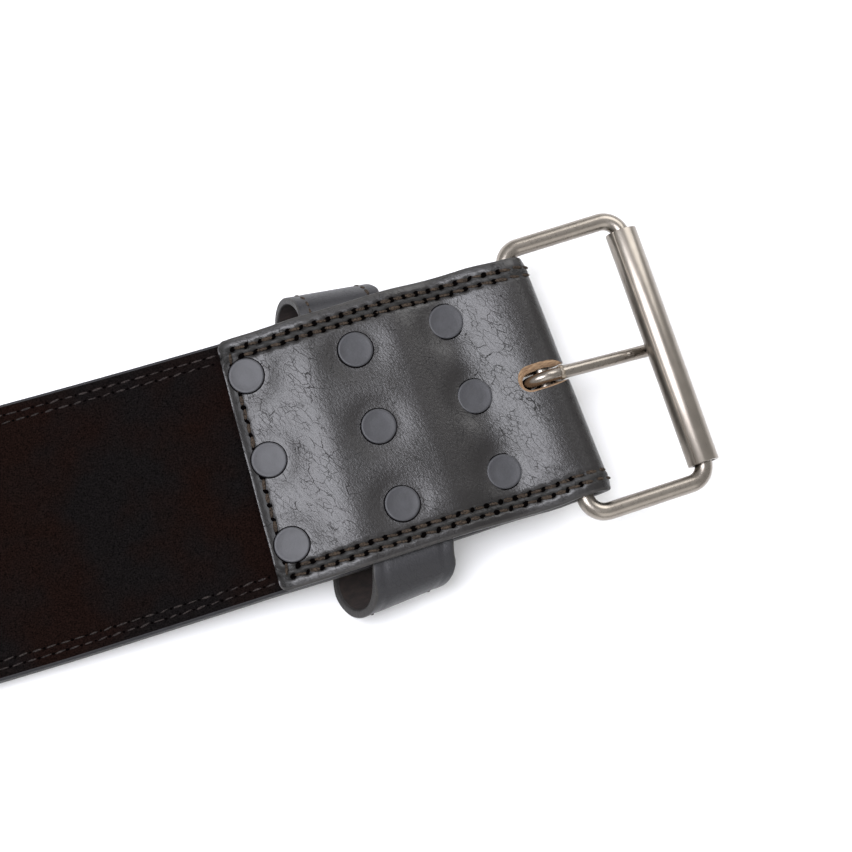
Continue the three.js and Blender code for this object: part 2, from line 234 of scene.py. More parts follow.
def underside(x):
    """Height of the smooth ply's underside along the belt."""
    flap_end = LIFT_SHARE * KEEPER_STAND
    if x <= -LIFT_RUN:
        return 0.0
    if x <= 0:
        return flap_end * ((x + LIFT_RUN) / LIFT_RUN) ** 2
    if x <= KEEPER_LEFT:
        t = x / KEEPER_LEFT
        climb = 2 * flap_end * KEEPER_LEFT / LIFT_RUN
        level = 3 * t ** 2 - 2 * t ** 3
        return flap_end + (KEEPER_STAND - flap_end) * level + climb * (t ** 3 - 2 * t ** 2 + t)
    if x <= KEEPER_RIGHT:
        return KEEPER_STAND
    if x <= PINCH_X:
        return ease_between(x, KEEPER_RIGHT, PINCH_X, KEEPER_STAND, PINCH_Z)
    return ease_between(x, PINCH_X, BAR_X, PINCH_Z, BAR_HEIGHT - FOLD_OUTER[1])


def flap_top(x):
    """Height of the flap's upper face, from its end to the bar."""
    on_keeper = KEEPER_HEIGHT + PLY_GAP + OUTER_PLY
    pinched = BAR_HEIGHT + PLY_GAP / 2 + OUTER_PLY
    if x <= KEEPER_LEFT:
        step = ease_between(x, KEEPER_LEFT - KEEPER_STEP, KEEPER_LEFT, 0, KEEPER_WALL + PLY_GAP)
        return underside(x) + TWO_PLIES + PLY_GAP + OUTER_PLY + step
    if x <= KEEPER_RIGHT:
        return on_keeper
    if x <= PINCH_X:
        return ease_between(x, KEEPER_RIGHT, PINCH_X, on_keeper, pinched)
    return ease_between(x, PINCH_X, BAR_X, pinched, BAR_HEIGHT + FOLD_OUTER[1])


def lean(x):
    """How far a line drawn across the belt leans along it."""
    at_buckle = -math.tan(FOLD_LEAN)
    if x <= 0:
        return FLAP_END_LEAN * float(np.clip(1 + x / FLAP_LENGTH, 0, 1))
    if x <= COLUMN_X[1]:
        return FLAP_END_LEAN * (1 - x / COLUMN_X[1])
    return at_buckle * min((x - COLUMN_X[1]) / (PINCH_X - COLUMN_X[1]), 1)


def half_width(x):
    """Half of the belt's width: round at the tip's corners, wider in the tail, narrower at the fold."""
    from_tip = x + TAIL_LENGTH
    if from_tip < TIP_CORNER:
        tip_half = HALF_WIDTH + TAIL_WIDENING - TIP_CORNER
        return tip_half + math.sqrt(TIP_CORNER ** 2 - (TIP_CORNER - from_tip) ** 2)
    wider = TAIL_WIDENING * min(max(-x / WIDENING_RUN, 0), 1)
    return HALF_WIDTH + wider - ease_between(x, BAR_X - NARROWING_RUN, BAR_X, 0, FOLD_NARROWING)


def drift(x):
    """How far the belt's middle line wanders to the side of the buckle's."""
    return float(ease_between(x, *DRIFT_RUN, *DRIFT))


def slope_of(height, x):
    """How steeply a height that depends on x rises there."""
    probe = 0.5
    return (height(x + probe) - height(x - probe)) / (2 * probe)


def rivet_places():
    """Centre on the flap's face, tilt about the belt's width, and grip, of each rivet."""
    places = []
    for x, column in zip(COLUMN_X, RIVET_COLUMNS):
        tilt = -math.atan(slope_of(flap_top, x))
        for row in (1, 0, -1):
            y = HALF_WIDTH * (row * column["across"] + column["shift"])
            grip = (flap_top(x) - underside(x)) * math.cos(tilt)
            places.append((Vector((x + lean(x) * y, y, flap_top(x))), tilt, grip))
    return places


# Colours and materials
def colour(hex_code):
    """Linear RGBA of an sRGB hex colour."""
    parts = [int(hex_code[i:i + 2], 16) / 255 for i in (1, 3, 5)]
    linear = [p / 12.92 if p <= 0.04045 else ((p + 0.055) / 1.055) ** 2.4 for p in parts]
    return (*linear, 1.0)


def add(tree, kind, settings=None, inputs=None):
    """A node with its settings, and its inputs set or linked."""
    node = tree.nodes.new(kind)
    for name, value in (settings or {}).items():
        setattr(node, name, value)
    for name, value in (inputs or {}).items():
        if isinstance(value, bpy.types.NodeSocket):
            tree.links.new(value, node.inputs[name])
        else:
            node.inputs[name].default_value = value
    return node


def new_material(name, base, roughness, metallic=0.0):
    """A material with its shader's plain values set."""
    material = bpy.data.materials.new(name)
    material.use_nodes = True
    tree = material.node_tree
    shader = tree.nodes["Principled BSDF"]
    shader.inputs["Base Color"].default_value = colour(base)
    shader.inputs["Roughness"].default_value = roughness
    shader.inputs["Metallic"].default_value = metallic
    return material, tree, shader


def drawn_out(tree, lengths=(1, 1, 1), turn=0.0):
    """Object coordinates for a pattern turned about the belt's normal and drawn out along its own axes."""
    place = add(tree, "ShaderNodeTexCoord")
    return add(tree, "ShaderNodeMapping", {"vector_type": "TEXTURE"}, {
        "Vector": place.outputs["Object"], "Scale": lengths,
        "Rotation": (0, 0, math.radians(turn))}).outputs["Vector"]


def per_mm(size):
    """A pattern's scale, in features per metre, from the size of one feature."""
    return 1 / (size * MM)


def broken_lines(tree, place, cell, width, patch, strength):
    """Short broken lines: the borders of warped cells, shown only in scattered patches. Sizes in mm."""
    warp = add(tree, "ShaderNodeTexNoise", None, {"Vector": place, "Scale": per_mm(cell * 0.7), "Detail": 4})
    moved = add(tree, "ShaderNodeVectorMath", {"operation": "MULTIPLY_ADD"}, {
        0: warp.outputs["Color"], 1: (cell * 0.5 * MM,) * 3, 2: place})
    cells = add(tree, "ShaderNodeTexVoronoi", {"feature": "DISTANCE_TO_EDGE"}, {
        "Vector": moved.outputs["Vector"], "Scale": per_mm(cell)})
    line = add(tree, "ShaderNodeMapRange", None, {
        "Value": cells.outputs["Distance"], "From Min": 0.3 * width / cell, "From Max": width / cell,
        "To Min": strength, "To Max": 0.0})
    spread = add(tree, "ShaderNodeTexNoise", None, {"Vector": place, "Scale": per_mm(patch), "Detail": 3})
    shown = add(tree, "ShaderNodeMapRange", None, {
        "Value": spread.outputs["Fac"], "From Min": 0.46, "From Max": 0.58})
    return add(tree, "ShaderNodeMath", {"operation": "MULTIPLY"}, {
        0: line.outputs["Result"], 1: shown.outputs["Result"]}).outputs[0]


def smooth_leather(name, dark, light, roughness, creasing):
    """Bridle leather, finished black with wax: a soft broad sheen, a fine streaky grain that leans across
    the belt, and a web of short creases where it has been bent, their dark lines painted shade. Along the
    seams it is dull, and darkened with painted shade of the stitch furrows."""
    material, tree, shader = new_material(name, dark, roughness)
    across = drawn_out(tree, (1, 2.4, 1), 30)
    streaks = drawn_out(tree, (1, 2.2, 1), 24)
    # creases a tenth of a millimetre wide, over cells 1.6 and 3.4 mm across as in the worn leather
    small = broken_lines(tree, across, 1.6, 0.07, 4, 0.45 * creasing)
    large = broken_lines(tree, across, 3.4, 0.08, 6, 0.65 * creasing)
    crease = add(tree, "ShaderNodeMath", {"operation": "MAXIMUM"}, {0: small, 1: large}).outputs[0]
    # hair-cell grain, 0.3 mm in the leather, drawn at 0.6 mm so that it shows
    grain = add(tree, "ShaderNodeTexNoise", None, {
        "Vector": streaks, "Scale": per_mm(0.6), "Detail": 3, "Roughness": 0.6}).outputs["Fac"]
    worn = add(tree, "ShaderNodeTexNoise", None, {
        "Vector": drawn_out(tree), "Scale": per_mm(30), "Detail": 4}).outputs["Fac"]
    seam = add(tree, "ShaderNodeAttribute", {"attribute_name": "seam"}).outputs["Fac"]
    base = add(tree, "ShaderNodeMix", {"data_type": "RGBA"}, {
        "Factor": worn, 6: colour(dark), 7: colour(light)}).outputs[2]
    # the seam bands are darkened towards near-black as painted shade of the stitch furrows
    seam_shaded = add(tree, "ShaderNodeMix", {"data_type": "RGBA"}, {
        "Factor": seam, 6: base, 7: colour("#0c0a09")}).outputs[2]
    # the creases are darkened towards black as painted shade
    crease_shaded = add(tree, "ShaderNodeMix", {"data_type": "RGBA"}, {
        "Factor": crease, 6: seam_shaded, 7: colour("#040404")}).outputs[2]
    tree.links.new(crease_shaded, shader.inputs["Base Color"])
    uneven = add(tree, "ShaderNodeMath", {"operation": "MULTIPLY_ADD"}, {
        0: grain, 1: 0.16, 2: roughness - 0.08}).outputs[0]
    cracked = add(tree, "ShaderNodeMath", {"operation": "MULTIPLY_ADD"}, {
        0: crease, 1: 0.4, 2: uneven}).outputs[0]
    dulled = add(tree, "ShaderNodeMath", {"operation": "MULTIPLY_ADD"}, {
        0: seam, 1: 0.24, 2: cracked}).outputs[0]
    tree.links.new(dulled, shader.inputs["Roughness"])
    # hardly any light comes back out of a crease
    sunk = add(tree, "ShaderNodeMath", {"operation": "MULTIPLY_ADD"}, {
        0: crease, 1: -0.4, 2: 0.5}).outputs[0]
    tree.links.new(sunk, shader.inputs["Specular IOR Level"])
    height = add(tree, "ShaderNodeMath", {"operation": "MULTIPLY_ADD"}, {
        0: crease, 1: -0.3, 2: grain}).outputs[0]
    bump = add(tree, "ShaderNodeBump", None, {"Height": height, "Distance": 0.26 * MM, "Strength": 0.5})
    tree.links.new(bump.outputs["Normal"], shader.inputs["Normal"])
    return material


def suede_leather():
    """Split suede dyed black brown: a matt napped face, speckled by its short fibres, which lean this way
    and that in cloudy patches, some warm brown and some cool grey, the cool ones a painted sheen of the nap."""
    material, tree, shader = new_material("Suede split, dyed black brown", "#0a0504", 0.95)
    shader.inputs["Specular IOR Level"].default_value = 0.02
    cloud = add(tree, "ShaderNodeTexNoise", None, {
        "Vector": drawn_out(tree), "Scale": per_mm(34), "Detail": 3}).outputs["Fac"]
    # nap fibres a tenth of a millimetre thick, drawn in tufts of 0.6 mm so that they show
    nap = add(tree, "ShaderNodeTexNoise", None, {
        "Vector": drawn_out(tree), "Scale": per_mm(0.6), "Detail": 3, "Roughness": 0.75}).outputs["Fac"]
    # cloudy patches of cool grey are painted sheen of the nap; the warm brown is the suede's own colour
    patch = add(tree, "ShaderNodeMapRange", None, {"Value": cloud, "From Min": 0.4, "From Max": 0.6})
    warm_tone_and_painted_sheen = add(tree, "ShaderNodeMix", {"data_type": "RGBA"}, {
        "Factor": patch.outputs["Result"], 6: colour("#110907"), 7: colour("#0d0b0b")}).outputs[2]
    speckle = add(tree, "ShaderNodeMapRange", None, {
        "Value": nap, "From Min": 0.3, "From Max": 0.7, "To Min": 0.0, "To Max": 2.0}).outputs["Result"]
    base = add(tree, "ShaderNodeVectorMath", {"operation": "SCALE"}, {
        0: warm_tone_and_painted_sheen, "Scale": speckle}).outputs["Vector"]
    tree.links.new(base, shader.inputs["Base Color"])
    bump = add(tree, "ShaderNodeBump", None, {"Height": nap, "Distance": 0.3 * MM, "Strength": 0.7})
    tree.links.new(bump.outputs["Normal"], shader.inputs["Normal"])
    return material


def cut_edge(name, dark, light, roughness, layer):
    """A cut edge of leather: layers of fibre along the ply, rubbed smooth or left raw. The same pattern
    gives a brazed bead its pits."""
    material, tree, shader = new_material(name, dark, roughness)
    fibres = add(tree, "ShaderNodeTexNoise", None, {
        "Vector": drawn_out(tree, (4, 4, 1)), "Scale": per_mm(layer),
        "Detail": 5, "Roughness": 0.65}).outputs["Fac"]
    contrast = add(tree, "ShaderNodeMapRange", None, {"Value": fibres, "From Min": 0.35, "From Max": 0.65})
    base = add(tree, "ShaderNodeMix", {"data_type": "RGBA"}, {
        "Factor": contrast.outputs["Result"], 6: colour(dark), 7: colour(light)}).outputs[2]
    tree.links.new(base, shader.inputs["Base Color"])
    bump = add(tree, "ShaderNodeBump", None, {"Height": fibres, "Distance": 0.25 * MM, "Strength": 0.7})
    tree.links.new(bump.outputs["Normal"], shader.inputs["Normal"])
    return material


def satin_nickel(name, roughness, stretch):
    """Steel wire and tube plated with satin nickel: a warm grey metal with fine drawn lines along it."""
    material, tree, shader = new_material(name, "#857e75", roughness, 1.0)
    # drawing lines of a few hundredths, drawn half a millimetre wide so that they show
    lines = add(tree, "ShaderNodeTexNoise", None, {
        "Vector": drawn_out(tree, stretch), "Scale": per_mm(0.5),
        "Detail": 5, "Roughness": 0.6}).outputs["Fac"]
    spots = add(tree, "ShaderNodeTexNoise", None, {
        "Vector": drawn_out(tree), "Scale": per_mm(7), "Detail": 4}).outputs["Fac"]
    spread = add(tree, "ShaderNodeMapRange", None, {
        "Value": lines, "From Min": 0.3, "From Max": 0.7,
        "To Min": roughness - 0.03, "To Max": roughness + 0.05})
    tree.links.new(spread.outputs["Result"], shader.inputs["Roughness"])
    base = add(tree, "ShaderNodeMix", {"data_type": "RGBA"}, {
        "Factor": spots, 6: colour("#7d766f"), 7: colour("#9b948b")}).outputs[2]
    tree.links.new(base, shader.inputs["Base Color"])
    bump = add(tree, "ShaderNodeBump", None, {"Height": lines, "Distance": 0.01 * MM, "Strength": 0.3})
    tree.links.new(bump.outputs["Normal"], shader.inputs["Normal"])
    return material


def painted_rivet():
    """Steel cap rivet, baked matt black enamel: bluish grey in strong light, with a slight orange peel."""
    material, tree, shader = new_material("Baked matt enamel on steel caps", "#232327", 0.48)
    peel = add(tree, "ShaderNodeTexNoise", None, {
        "Vector": drawn_out(tree), "Scale": per_mm(1.2), "Detail": 5}).outputs["Fac"]
    wear = add(tree, "ShaderNodeTexNoise", None, {
        "Vector": drawn_out(tree), "Scale": per_mm(4), "Detail": 4}).outputs["Fac"]
    base = add(tree, "ShaderNodeMix", {"data_type": "RGBA"}, {
        "Factor": wear, 6: colour("#18181b"), 7: colour("#303035")}).outputs[2]
    tree.links.new(base, shader.inputs["Base Color"])
    bump = add(tree, "ShaderNodeBump", None, {"Height": peel, "Distance": 0.08 * MM, "Strength": 0.5})
    tree.links.new(bump.outputs["Normal"], shader.inputs["Normal"])
    return material


def waxed_thread(name, dark, light):
    """Waxed polyester thread: two twisted strands with a faint fibre gloss."""
    material, tree, shader = new_material(name, dark, 0.75)
    shader.inputs["Specular IOR Level"].default_value = 0.12
    strands = add(tree, "ShaderNodeTexNoise", None, {
        "Vector": drawn_out(tree), "Scale": per_mm(0.6), "Detail": 3}).outputs["Fac"]
    contrast = add(tree, "ShaderNodeMapRange", None, {"Value": strands, "From Min": 0.35, "From Max": 0.65})
    base = add(tree, "ShaderNodeMix", {"data_type": "RGBA"}, {
        "Factor": contrast.outputs["Result"], 6: colour(dark), 7: colour(light)}).outputs[2]
    tree.links.new(base, shader.inputs["Base Color"])
    bump = add(tree, "ShaderNodeBump", None, {"Height": strands, "Distance": 0.15 * MM, "Strength": 0.6})
    tree.links.new(bump.outputs["Normal"], shader.inputs["Normal"])
    return material


def painted_shade_material(name):
    """Near-black, with no gloss: painted shade deep in a narrow gap or an awl's hole, where hardly any light
    gets in.
    """
    material, _, shader = new_material(name, "#040303", 1.0)
    shader.inputs["Specular IOR Level"].default_value = 0.0
    return material


def studio_paper():
    """White background paper, matt and even."""
    return new_material("White background paper", "#f6f6f6", 1.0)[0]


FLAP_LEATHER = smooth_leather("Bridle leather, waxed black", "#100e0e", "#1c1919", 0.31, 1.0)
KEEPER_LEATHER = smooth_leather("Bridle leather, slate black", "#0f0e12", "#17161b", 0.47, 0.3)
FLESH_SIDE = cut_edge("Flesh side of leather, dyed", "#1c1614", "#2b221e", 0.9, 0.8)
RUBBED_EDGE = cut_edge("Edge of leather, dyed and rubbed", "#171615", "#2b2826", 0.5, 0.5)
DARK_EDGE = cut_edge("Edge of leather, dyed black", "#0e0d10", "#1b1a1e", 0.75, 0.6)
RAW_EDGE = cut_edge("Cut leather, undyed", "#7d6048", "#bfa07f", 0.9, 0.5)
SUEDE = suede_leather()
WELD_BEAD = cut_edge("Brazing bead, dull and pitted", "#4a4238", "#8f8474", 0.45, 0.7)
NICKEL_WIRE = satin_nickel("Satin nickel on drawn wire", 0.28, (3, 3, 1))
NICKEL_TUBE = satin_nickel("Satin nickel on drawn tube", 0.3, (1, 40, 1))
ENAMEL = painted_rivet()
# near-black painted shade on the seat and rim of each rivet
SEAT_SHADE = painted_shade_material("Painted shade in rivet seats")
THREAD_BROWN = waxed_thread("Waxed thread, dark brown", "#15110e", "#42382f")
THREAD_BLACK = waxed_thread("Waxed thread, black brown", "#141111", "#332d2b")
# near-black painted shade for the needle holes
HOLE_SHADE = painted_shade_material("Painted shade in needle holes")


# Meshes
def between_rings(rings, sides, closed=False):
    """Faces between neighbouring rings of vertices; closed also joins the last ring to the first."""
    faces = []
    for i in range(rings if closed else rings - 1):
        j = (i + 1) % rings
        for n in range(sides):
            m = (n + 1) % sides
            faces.append((i * sides + n, i * sides + m, j * sides + m, j * sides + n))
    return faces


def end_faces(rings, sides):
    """The two faces that close a row of rings."""
    return [tuple(range(sides))[::-1], tuple(range((rings - 1) * sides, rings * sides))]


def link(name, mesh, materials):
    """A new object at the origin, its mesh moved from the belt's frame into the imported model's."""
    mesh.transform(TO_FRAME)
    for material in materials:
        mesh.materials.append(material)
    piece = bpy.data.objects.new(name, mesh)
    bpy.context.scene.collection.objects.link(piece)
    return piece


def make_mesh(name, vertices, faces, slots=None):
    """A smooth shaded mesh, with a material slot for each face."""
    mesh = bpy.data.meshes.new(name)
    mesh.from_pydata([tuple(v) for v in vertices], [], faces)
    if slots:
        mesh.polygons.foreach_set("material_index", slots)
    mesh.shade_smooth()
    mesh.update()
    return mesh


def fine_near(low, high, spots, fine, coarse, near):
    """Places from low to high, a fine step apart near the named spots and a coarse one elsewhere."""
    places = [low]
    while places[-1] < high:
        here = places[-1]
        close = any(abs(here - spot) < near for spot in spots)
        places.append(here + (fine if close else coarse))
    scale = (high - low) / (places[-1] - low)
    return [low + (p - low) * scale for p in places]


# A strip's section, as shares of its flat width: finer toward the edges, where the stitches are
ACROSS = np.array(fine_near(-1, 1, [-1, 1], *ACROSS_STEPS, ACROSS_FINE))


def rounded_section(flat, half, thick, curve):
    """Points round a flat section as (across, height): grain side, edge, flesh side, edge."""
    turn = np.linspace(0, np.pi / 2, EDGE_STEPS + 1)
    upper = np.c_[half - curve + curve * np.sin(turn), thick - curve + curve * np.cos(turn)][1:]
    edge = np.r_[upper, (upper * (1, -1))[::-1]]
    top = np.c_[flat, np.full(len(flat), thick)]
    bottom = np.c_[flat[::-1], np.full(len(flat), -thick)]
    return np.r_[top, edge, bottom, -edge]


def sides_of(flat):
    """Material slots of the faces round a section: grain side 0, edges 1 and flesh side 2."""
    face, edge = flat - 1, 2 * EDGE_STEPS + 1
    return [0] * face + [1] * edge + [2] * face + [1] * edge


def section_points(half, thick, inset):
    """A strip's section at one place, made smaller all round by the inset."""
    half, thick = half - inset, thick - inset
    curve = max(min(EDGE_ROUND, thick * 0.9) - inset, 0.05)
    return rounded_section(ACROSS * (half - curve), half, thick, curve)


def end_rows(radius):
    """Distance from a strip's end, and inset, of the rows that round the end off."""
    angles = np.linspace(0, np.pi / 2, EDGE_STEPS + 1)
    return [(radius * (1 - math.sin(a)), radius * (1 - math.cos(a))) for a in angles[::-1]]


def strip_mesh(name, rows, relief, seam):
    """A leather strip swept along its rows. relief gives how far a point of the grain side stands out, by
    row and place across, and seam how near a row of stitches it lies."""
    points, seams = [], []
    for row in rows:
        section = section_points(row["half_width"], row["half_thick"], row["inset"])
        count = len(section)
        across, off = section[:, 0], section[:, 1]
        weight = np.clip(off / max(row["half_thick"], 0.01), 0, 1)
        raised = off + weight * relief(row, across)
        x = row["x"] + row["lean"] * across + row["normal"][0] * raised
        z = row["z"] + row["normal"][1] * raised
        points.append(np.c_[x, across + row["drift"], z])
        seams.append(weight * seam(row, across))
    flat, edge = len(ACROSS), 2 * EDGE_STEPS
    faces = between_rings(len(rows), count)
    slots = sides_of(flat) * (len(rows) - 1)
    for ring, order in ((0, -1), (len(rows) - 1, 1)):
        first = ring * count
        for j in range(flat - 1):
            below = flat + edge + (flat - 1 - j)
            quad = [first + j, first + j + 1, first + below - 1, first + below]
            faces.append(tuple(quad[::order]))
            slots.append(3)
        near_side = [first + flat - 1 + n for n in range(edge + 2)]
        far_side = [first + 2 * flat + edge - 1 + n for n in range(edge + 1)] + [first]
        for fan in (near_side, far_side):
            faces.append(tuple(fan[::order]))
            slots.append(3)
    mesh = make_mesh(name, np.concatenate(points), faces, slots)
    mesh.attributes.new("seam", "FLOAT", "POINT").data.foreach_set("value", np.concatenate(seams))
    outward(mesh)
    return mesh


def outward(mesh):
    """Doubles merged and normals turned outwards."""
    work = bmesh.new()
    work.from_mesh(mesh)
    bmesh.ops.remove_doubles(work, verts=work.verts, dist=1e-4)
    bmesh.ops.recalc_face_normals(work, faces=work.faces)
    work.to_mesh(mesh)
    work.free()
    mesh.update()


def strip_row(x, z, normal, half_thick, width, inset=0.0, face=""):
    """One row of a strip: its middle, the way its grain side faces, its sizes and its place."""
    length = math.hypot(*normal)
    return {
        "x": x, "z": z, "normal": (normal[0] / length, normal[1] / length),
        "half_thick": half_thick, "half_width": width, "lean": lean(x), "inset": inset, "face": face,
        "along": x, "drift": drift(x),
    }


# Relief of the leather: dents round the rivets, furrows of the stitches, and soft waves
RIVETS = rivet_places()


def ripple(along, across):
    """Soft waves of hand-worked leather, as a few fixed sines."""
    wave = 0.16 * np.sin(along / 19 + across / 31 + 0.4) * np.cos(across / 23 - along / 47)
    wave += 0.08 * np.sin(along / 8.5 - across / 14 + 1.9) * np.sin(across / 9.7 + 0.6)
    return wave


def needle_place(along, rows_apart):
    """Distance along a row from the nearest needle hole; neighbouring rows are staggered."""
    turn = along / STITCH_PITCH - 0.5 * rows_apart
    return (turn - np.round(turn)) * STITCH_PITCH


def stitch_row(distance, along, rows_apart, depth):
    """A furrow that a row of stitches pulls into the leather, and a pit at each needle hole."""
    from_hole = needle_place(along, rows_apart)
    furrow = np.exp(-(distance / FURROW_REACH) ** 2)
    pit = np.exp(-(distance ** 2 + from_hole ** 2) / FURROW_REACH ** 2)
    return -depth * furrow - NEEDLE_PIT * pit


def flap_seam(row, across):
    """Nearness to the flap's rows of stitches, from 0 to 1."""
    if row["face"] == "below":
        return np.zeros(len(across))
    edge = row["half_width"] - np.abs(across)
    between = np.abs(edge - sum(FLAP_ROWS) / 2) - (FLAP_ROWS[1] - FLAP_ROWS[0]) / 2
    near = 1 - ease(between / SEAM_FADE)
    if row["face"] == "flap":
        from_end_seam = np.abs(row["along"] - END_ROW * 0.75) - END_SEAM_HALF
        near = np.maximum(near, 1 - ease(from_end_seam / SEAM_FADE))
    return near


def ply_seam(row, across):
    """The suede's seams get no painted shade."""
    return np.zeros(len(across))


def flap_relief(row, across):
    """How far the smooth ply stands out: furrows and pits of the stitches, bevels, dents and a soft puff."""
    along = row["along"]
    if row["face"] == "below":
        return 0.5 * ripple(along * 0.7, across)
    raised = ripple(along, across)
    edge = row["half_width"] - np.abs(across)
    on_face = row["face"] == "flap"
    for number, inner in enumerate(FLAP_ROWS):
        depth = FLAP_FURROW if on_face and along < PINCH_X + FOLD_FURROW_START else FOLD_FURROW
        pits = stitch_row(edge - inner, along, number, depth)
        plain = -depth * np.exp(-((edge - inner) / FOLD_FURROW_REACH) ** 2)
        raised = raised + (pits if on_face else plain)
    raised = raised + ROW_RIDGE * np.exp(-((edge - sum(FLAP_ROWS) / 2) / ROW_RIDGE_REACH) ** 2)
    raised = raised - EDGE_BEVEL * ease(1 - edge / FLAP_ROWS[0])
    if not on_face:
        return raised
    raised = raised + stitch_row(along - END_ROW, across, 0, END_FURROW)
    raised = raised - END_BEVEL * ease(1 - along / END_ROW)
    inside = ease((edge - FLAP_ROWS[1]) / PUFF_RISE[0]) * ease((along - FLAP_ROWS[0]) / PUFF_RISE[1])
    inside = inside * ease((BAR_X + 2 - along) / PUFF_RISE[2])
    raised = raised + PUFF * inside
    for place, _, _ in RIVETS:
        distance = np.hypot(along + row["lean"] * across - place.x, across + row["drift"] - place.y)
        from_rim = np.maximum(distance - RIVET_HEAD / 2 - RIVET_RIM, 0)
        deep = PUFF * inside + 0.5 * RIVET_SEAT
        raised = raised - deep * np.exp(-(from_rim / DENT_REACH) ** 2)
    return raised


def tail_places():
    """Places along the flat run of the belt, close together round the corners of its tip."""
    tip = -TAIL_LENGTH
    angles = np.linspace(TIP_FIRST_ANGLE, np.pi / 2, TIP_STEPS)
    corner = [tip + TIP_CORNER * (1 - math.cos(angle)) for angle in angles]
    return corner + fine_near(tip + TIP_CORNER + 6, -LIFT_RUN, [], TAIL_STEP, TAIL_STEP, 0)


def strap_rows():
    """Rows of the smooth ply: the long lower run, the fold round the bar, and the flap back to its end."""
    rows = []
    half = OUTER_PLY / 2
    tip = -TAIL_LENGTH
    for gap, inset in end_rows(EDGE_ROUND):
        rows.append(strip_row(tip + gap, half, (0, -1), half, half_width(tip), inset, "below"))
    bends = [KEEPER_LEFT, KEEPER_RIGHT, PINCH_X]
    for x in tail_places() + fine_near(-LIFT_RUN + 6, BAR_X - 1, bends, *BEND_STEPS, BEND_REACH):
        normal = (slope_of(underside, x), -1)
        rows.append(strip_row(x, underside(x) + half, normal, half, half_width(x), 0, "below"))
    middle = ((FOLD_INNER[0] + FOLD_OUTER[0]) / 2, (FOLD_INNER[1] + FOLD_OUTER[1]) / 2)
    for angle in np.linspace(-np.pi / 2, np.pi / 2, FOLD_STEPS):
        normal = (math.cos(angle) * middle[1], math.sin(angle) * middle[0])
        height = BAR_HEIGHT + middle[1] * math.sin(angle)
        row = strip_row(BAR_X, height, normal, half, half_width(BAR_X), 0, "fold")
        row["x"] += middle[0] * math.cos(angle)
        row["along"] = BAR_X + middle[0] * (1 + angle / (np.pi / 2))
        rows.append(row)
    face = [(x, 0) for x in np.arange(BAR_X - 1, EDGE_ROUND + 0.5, -FLAP_STEP)]
    for x, inset in face + end_rows(EDGE_ROUND)[::-1]:
        corner = max(FLAP_CORNER - x, 0)
        width = half_width(x) - FLAP_CORNER + math.sqrt(FLAP_CORNER ** 2 - corner ** 2)
        normal = (-slope_of(flap_top, x), 1)
        rows.append(strip_row(x, flap_top(x) - half, normal, half, width + inset, inset, "flap"))
    return rows


def ply_floor(x):
    """Height of the suede ply's underside along the belt."""
    return underside(x) + OUTER_PLY + PLY_GAP


def ply_thickness(x):
    """The suede ply is skived thin from the keeper to its end."""
    share = float(np.clip((x - KEEPER_RIGHT) / (INNER_PLY_END - KEEPER_RIGHT), 0, 1))
    return INNER_PLY + (SKIVED_EDGE - INNER_PLY) * share


def ply_ripple(along, across):
    """The suede's soft waves, lower and longer than the flap's."""
    return 0.6 * ripple(along * 0.6, across)


def ply_relief(row, across):
    """How far the suede stands out: soft waves and the furrows of its stitches."""
    raised = ply_ripple(row["along"], across)
    edge = row["half_width"] - np.abs(across)
    for inner in PLY_ROWS:
        raised = raised - PLY_FURROW * np.exp(-((edge - inner) / FURROW_REACH) ** 2)
    return raised


def ply_rows():
    """Rows of the suede ply, whose napped side is up."""
    rows = []
    tip = -TAIL_LENGTH
    for gap, inset in end_rows(EDGE_ROUND):
        x = tip + gap
        middle = ply_floor(x) + INNER_PLY / 2
        rows.append(strip_row(x, middle, (0, 1), INNER_PLY / 2, half_width(tip), inset))
    for x in tail_places() + fine_near(-LIFT_RUN + 3, INNER_PLY_END, [], PLY_STEP, PLY_STEP, 0):
        thick = ply_thickness(x)
        normal = (-slope_of(underside, x), 1)
        rows.append(strip_row(x, ply_floor(x) + thick / 2, normal, thick / 2, half_width(x)))
    return rows


def revolved(profile, sides):
    """Vertices and faces of a profile of (radius, height) turned about Z, with a face over each end."""
    vertices = []
    for radius, height in profile:
        for n in range(sides):
            angle = 2 * math.pi * n / sides
            vertices.append((radius * math.cos(angle), radius * math.sin(angle), height))
    return vertices, between_rings(len(profile), sides) + end_faces(len(profile), sides)


def sharpen(piece, degrees):
    """Faces meeting at more than this angle keep a crisp edge."""
    piece.data.shade_smooth()
    piece.data.set_sharp_from_angle(angle=math.radians(degrees))


def settle(piece):
    """The piece with what its modifiers make as its own mesh."""
    graph = bpy.context.evaluated_depsgraph_get()
    made = bpy.data.meshes.new_from_object(piece.evaluated_get(graph))
    piece.modifiers.clear()
    piece.data = made


# Cutters for the slot and the prong holes
def cut(piece, cutter):
    """The cutter taken out of the piece, with the cutter's material on the faces that it leaves."""
    modifier = piece.modifiers.new("Cut", "BOOLEAN")
    modifier.operation = "DIFFERENCE"
    modifier.solver = "EXACT"
    modifier.material_mode = "TRANSFER"
    modifier.object = cutter
    settle(piece)
    bpy.data.objects.remove(cutter)


def prism(outline_low, outline_high, low, high):
    """Vertices and faces between two outlines of as many points."""
    count = len(outline_low)
    vertices = [(x, y, low) for x, y in outline_low] + [(x, y, high) for x, y in outline_high]
    return vertices, between_rings(2, count) + end_faces(2, count)


def slot_outline(back, radius, shift):
    """Half-round end toward the flap, open toward the prong."""
    centre = radius - back
    reach = FOLD_OUTER[0] + SLOT_WIDTH
    arc = [(centre + radius * math.cos(a), shift + radius * math.sin(a))
           for a in np.linspace(np.pi / 2, 1.5 * np.pi, 20)]
    return arc + [(reach, shift - radius), (reach, shift + radius)]


def carried_on(start, end, share):
    """The first outline moved toward the second by a share of the way between them."""
    return [tuple(a + (b - a) * share for a, b in zip(p, q)) for p, q in zip(start, end)]


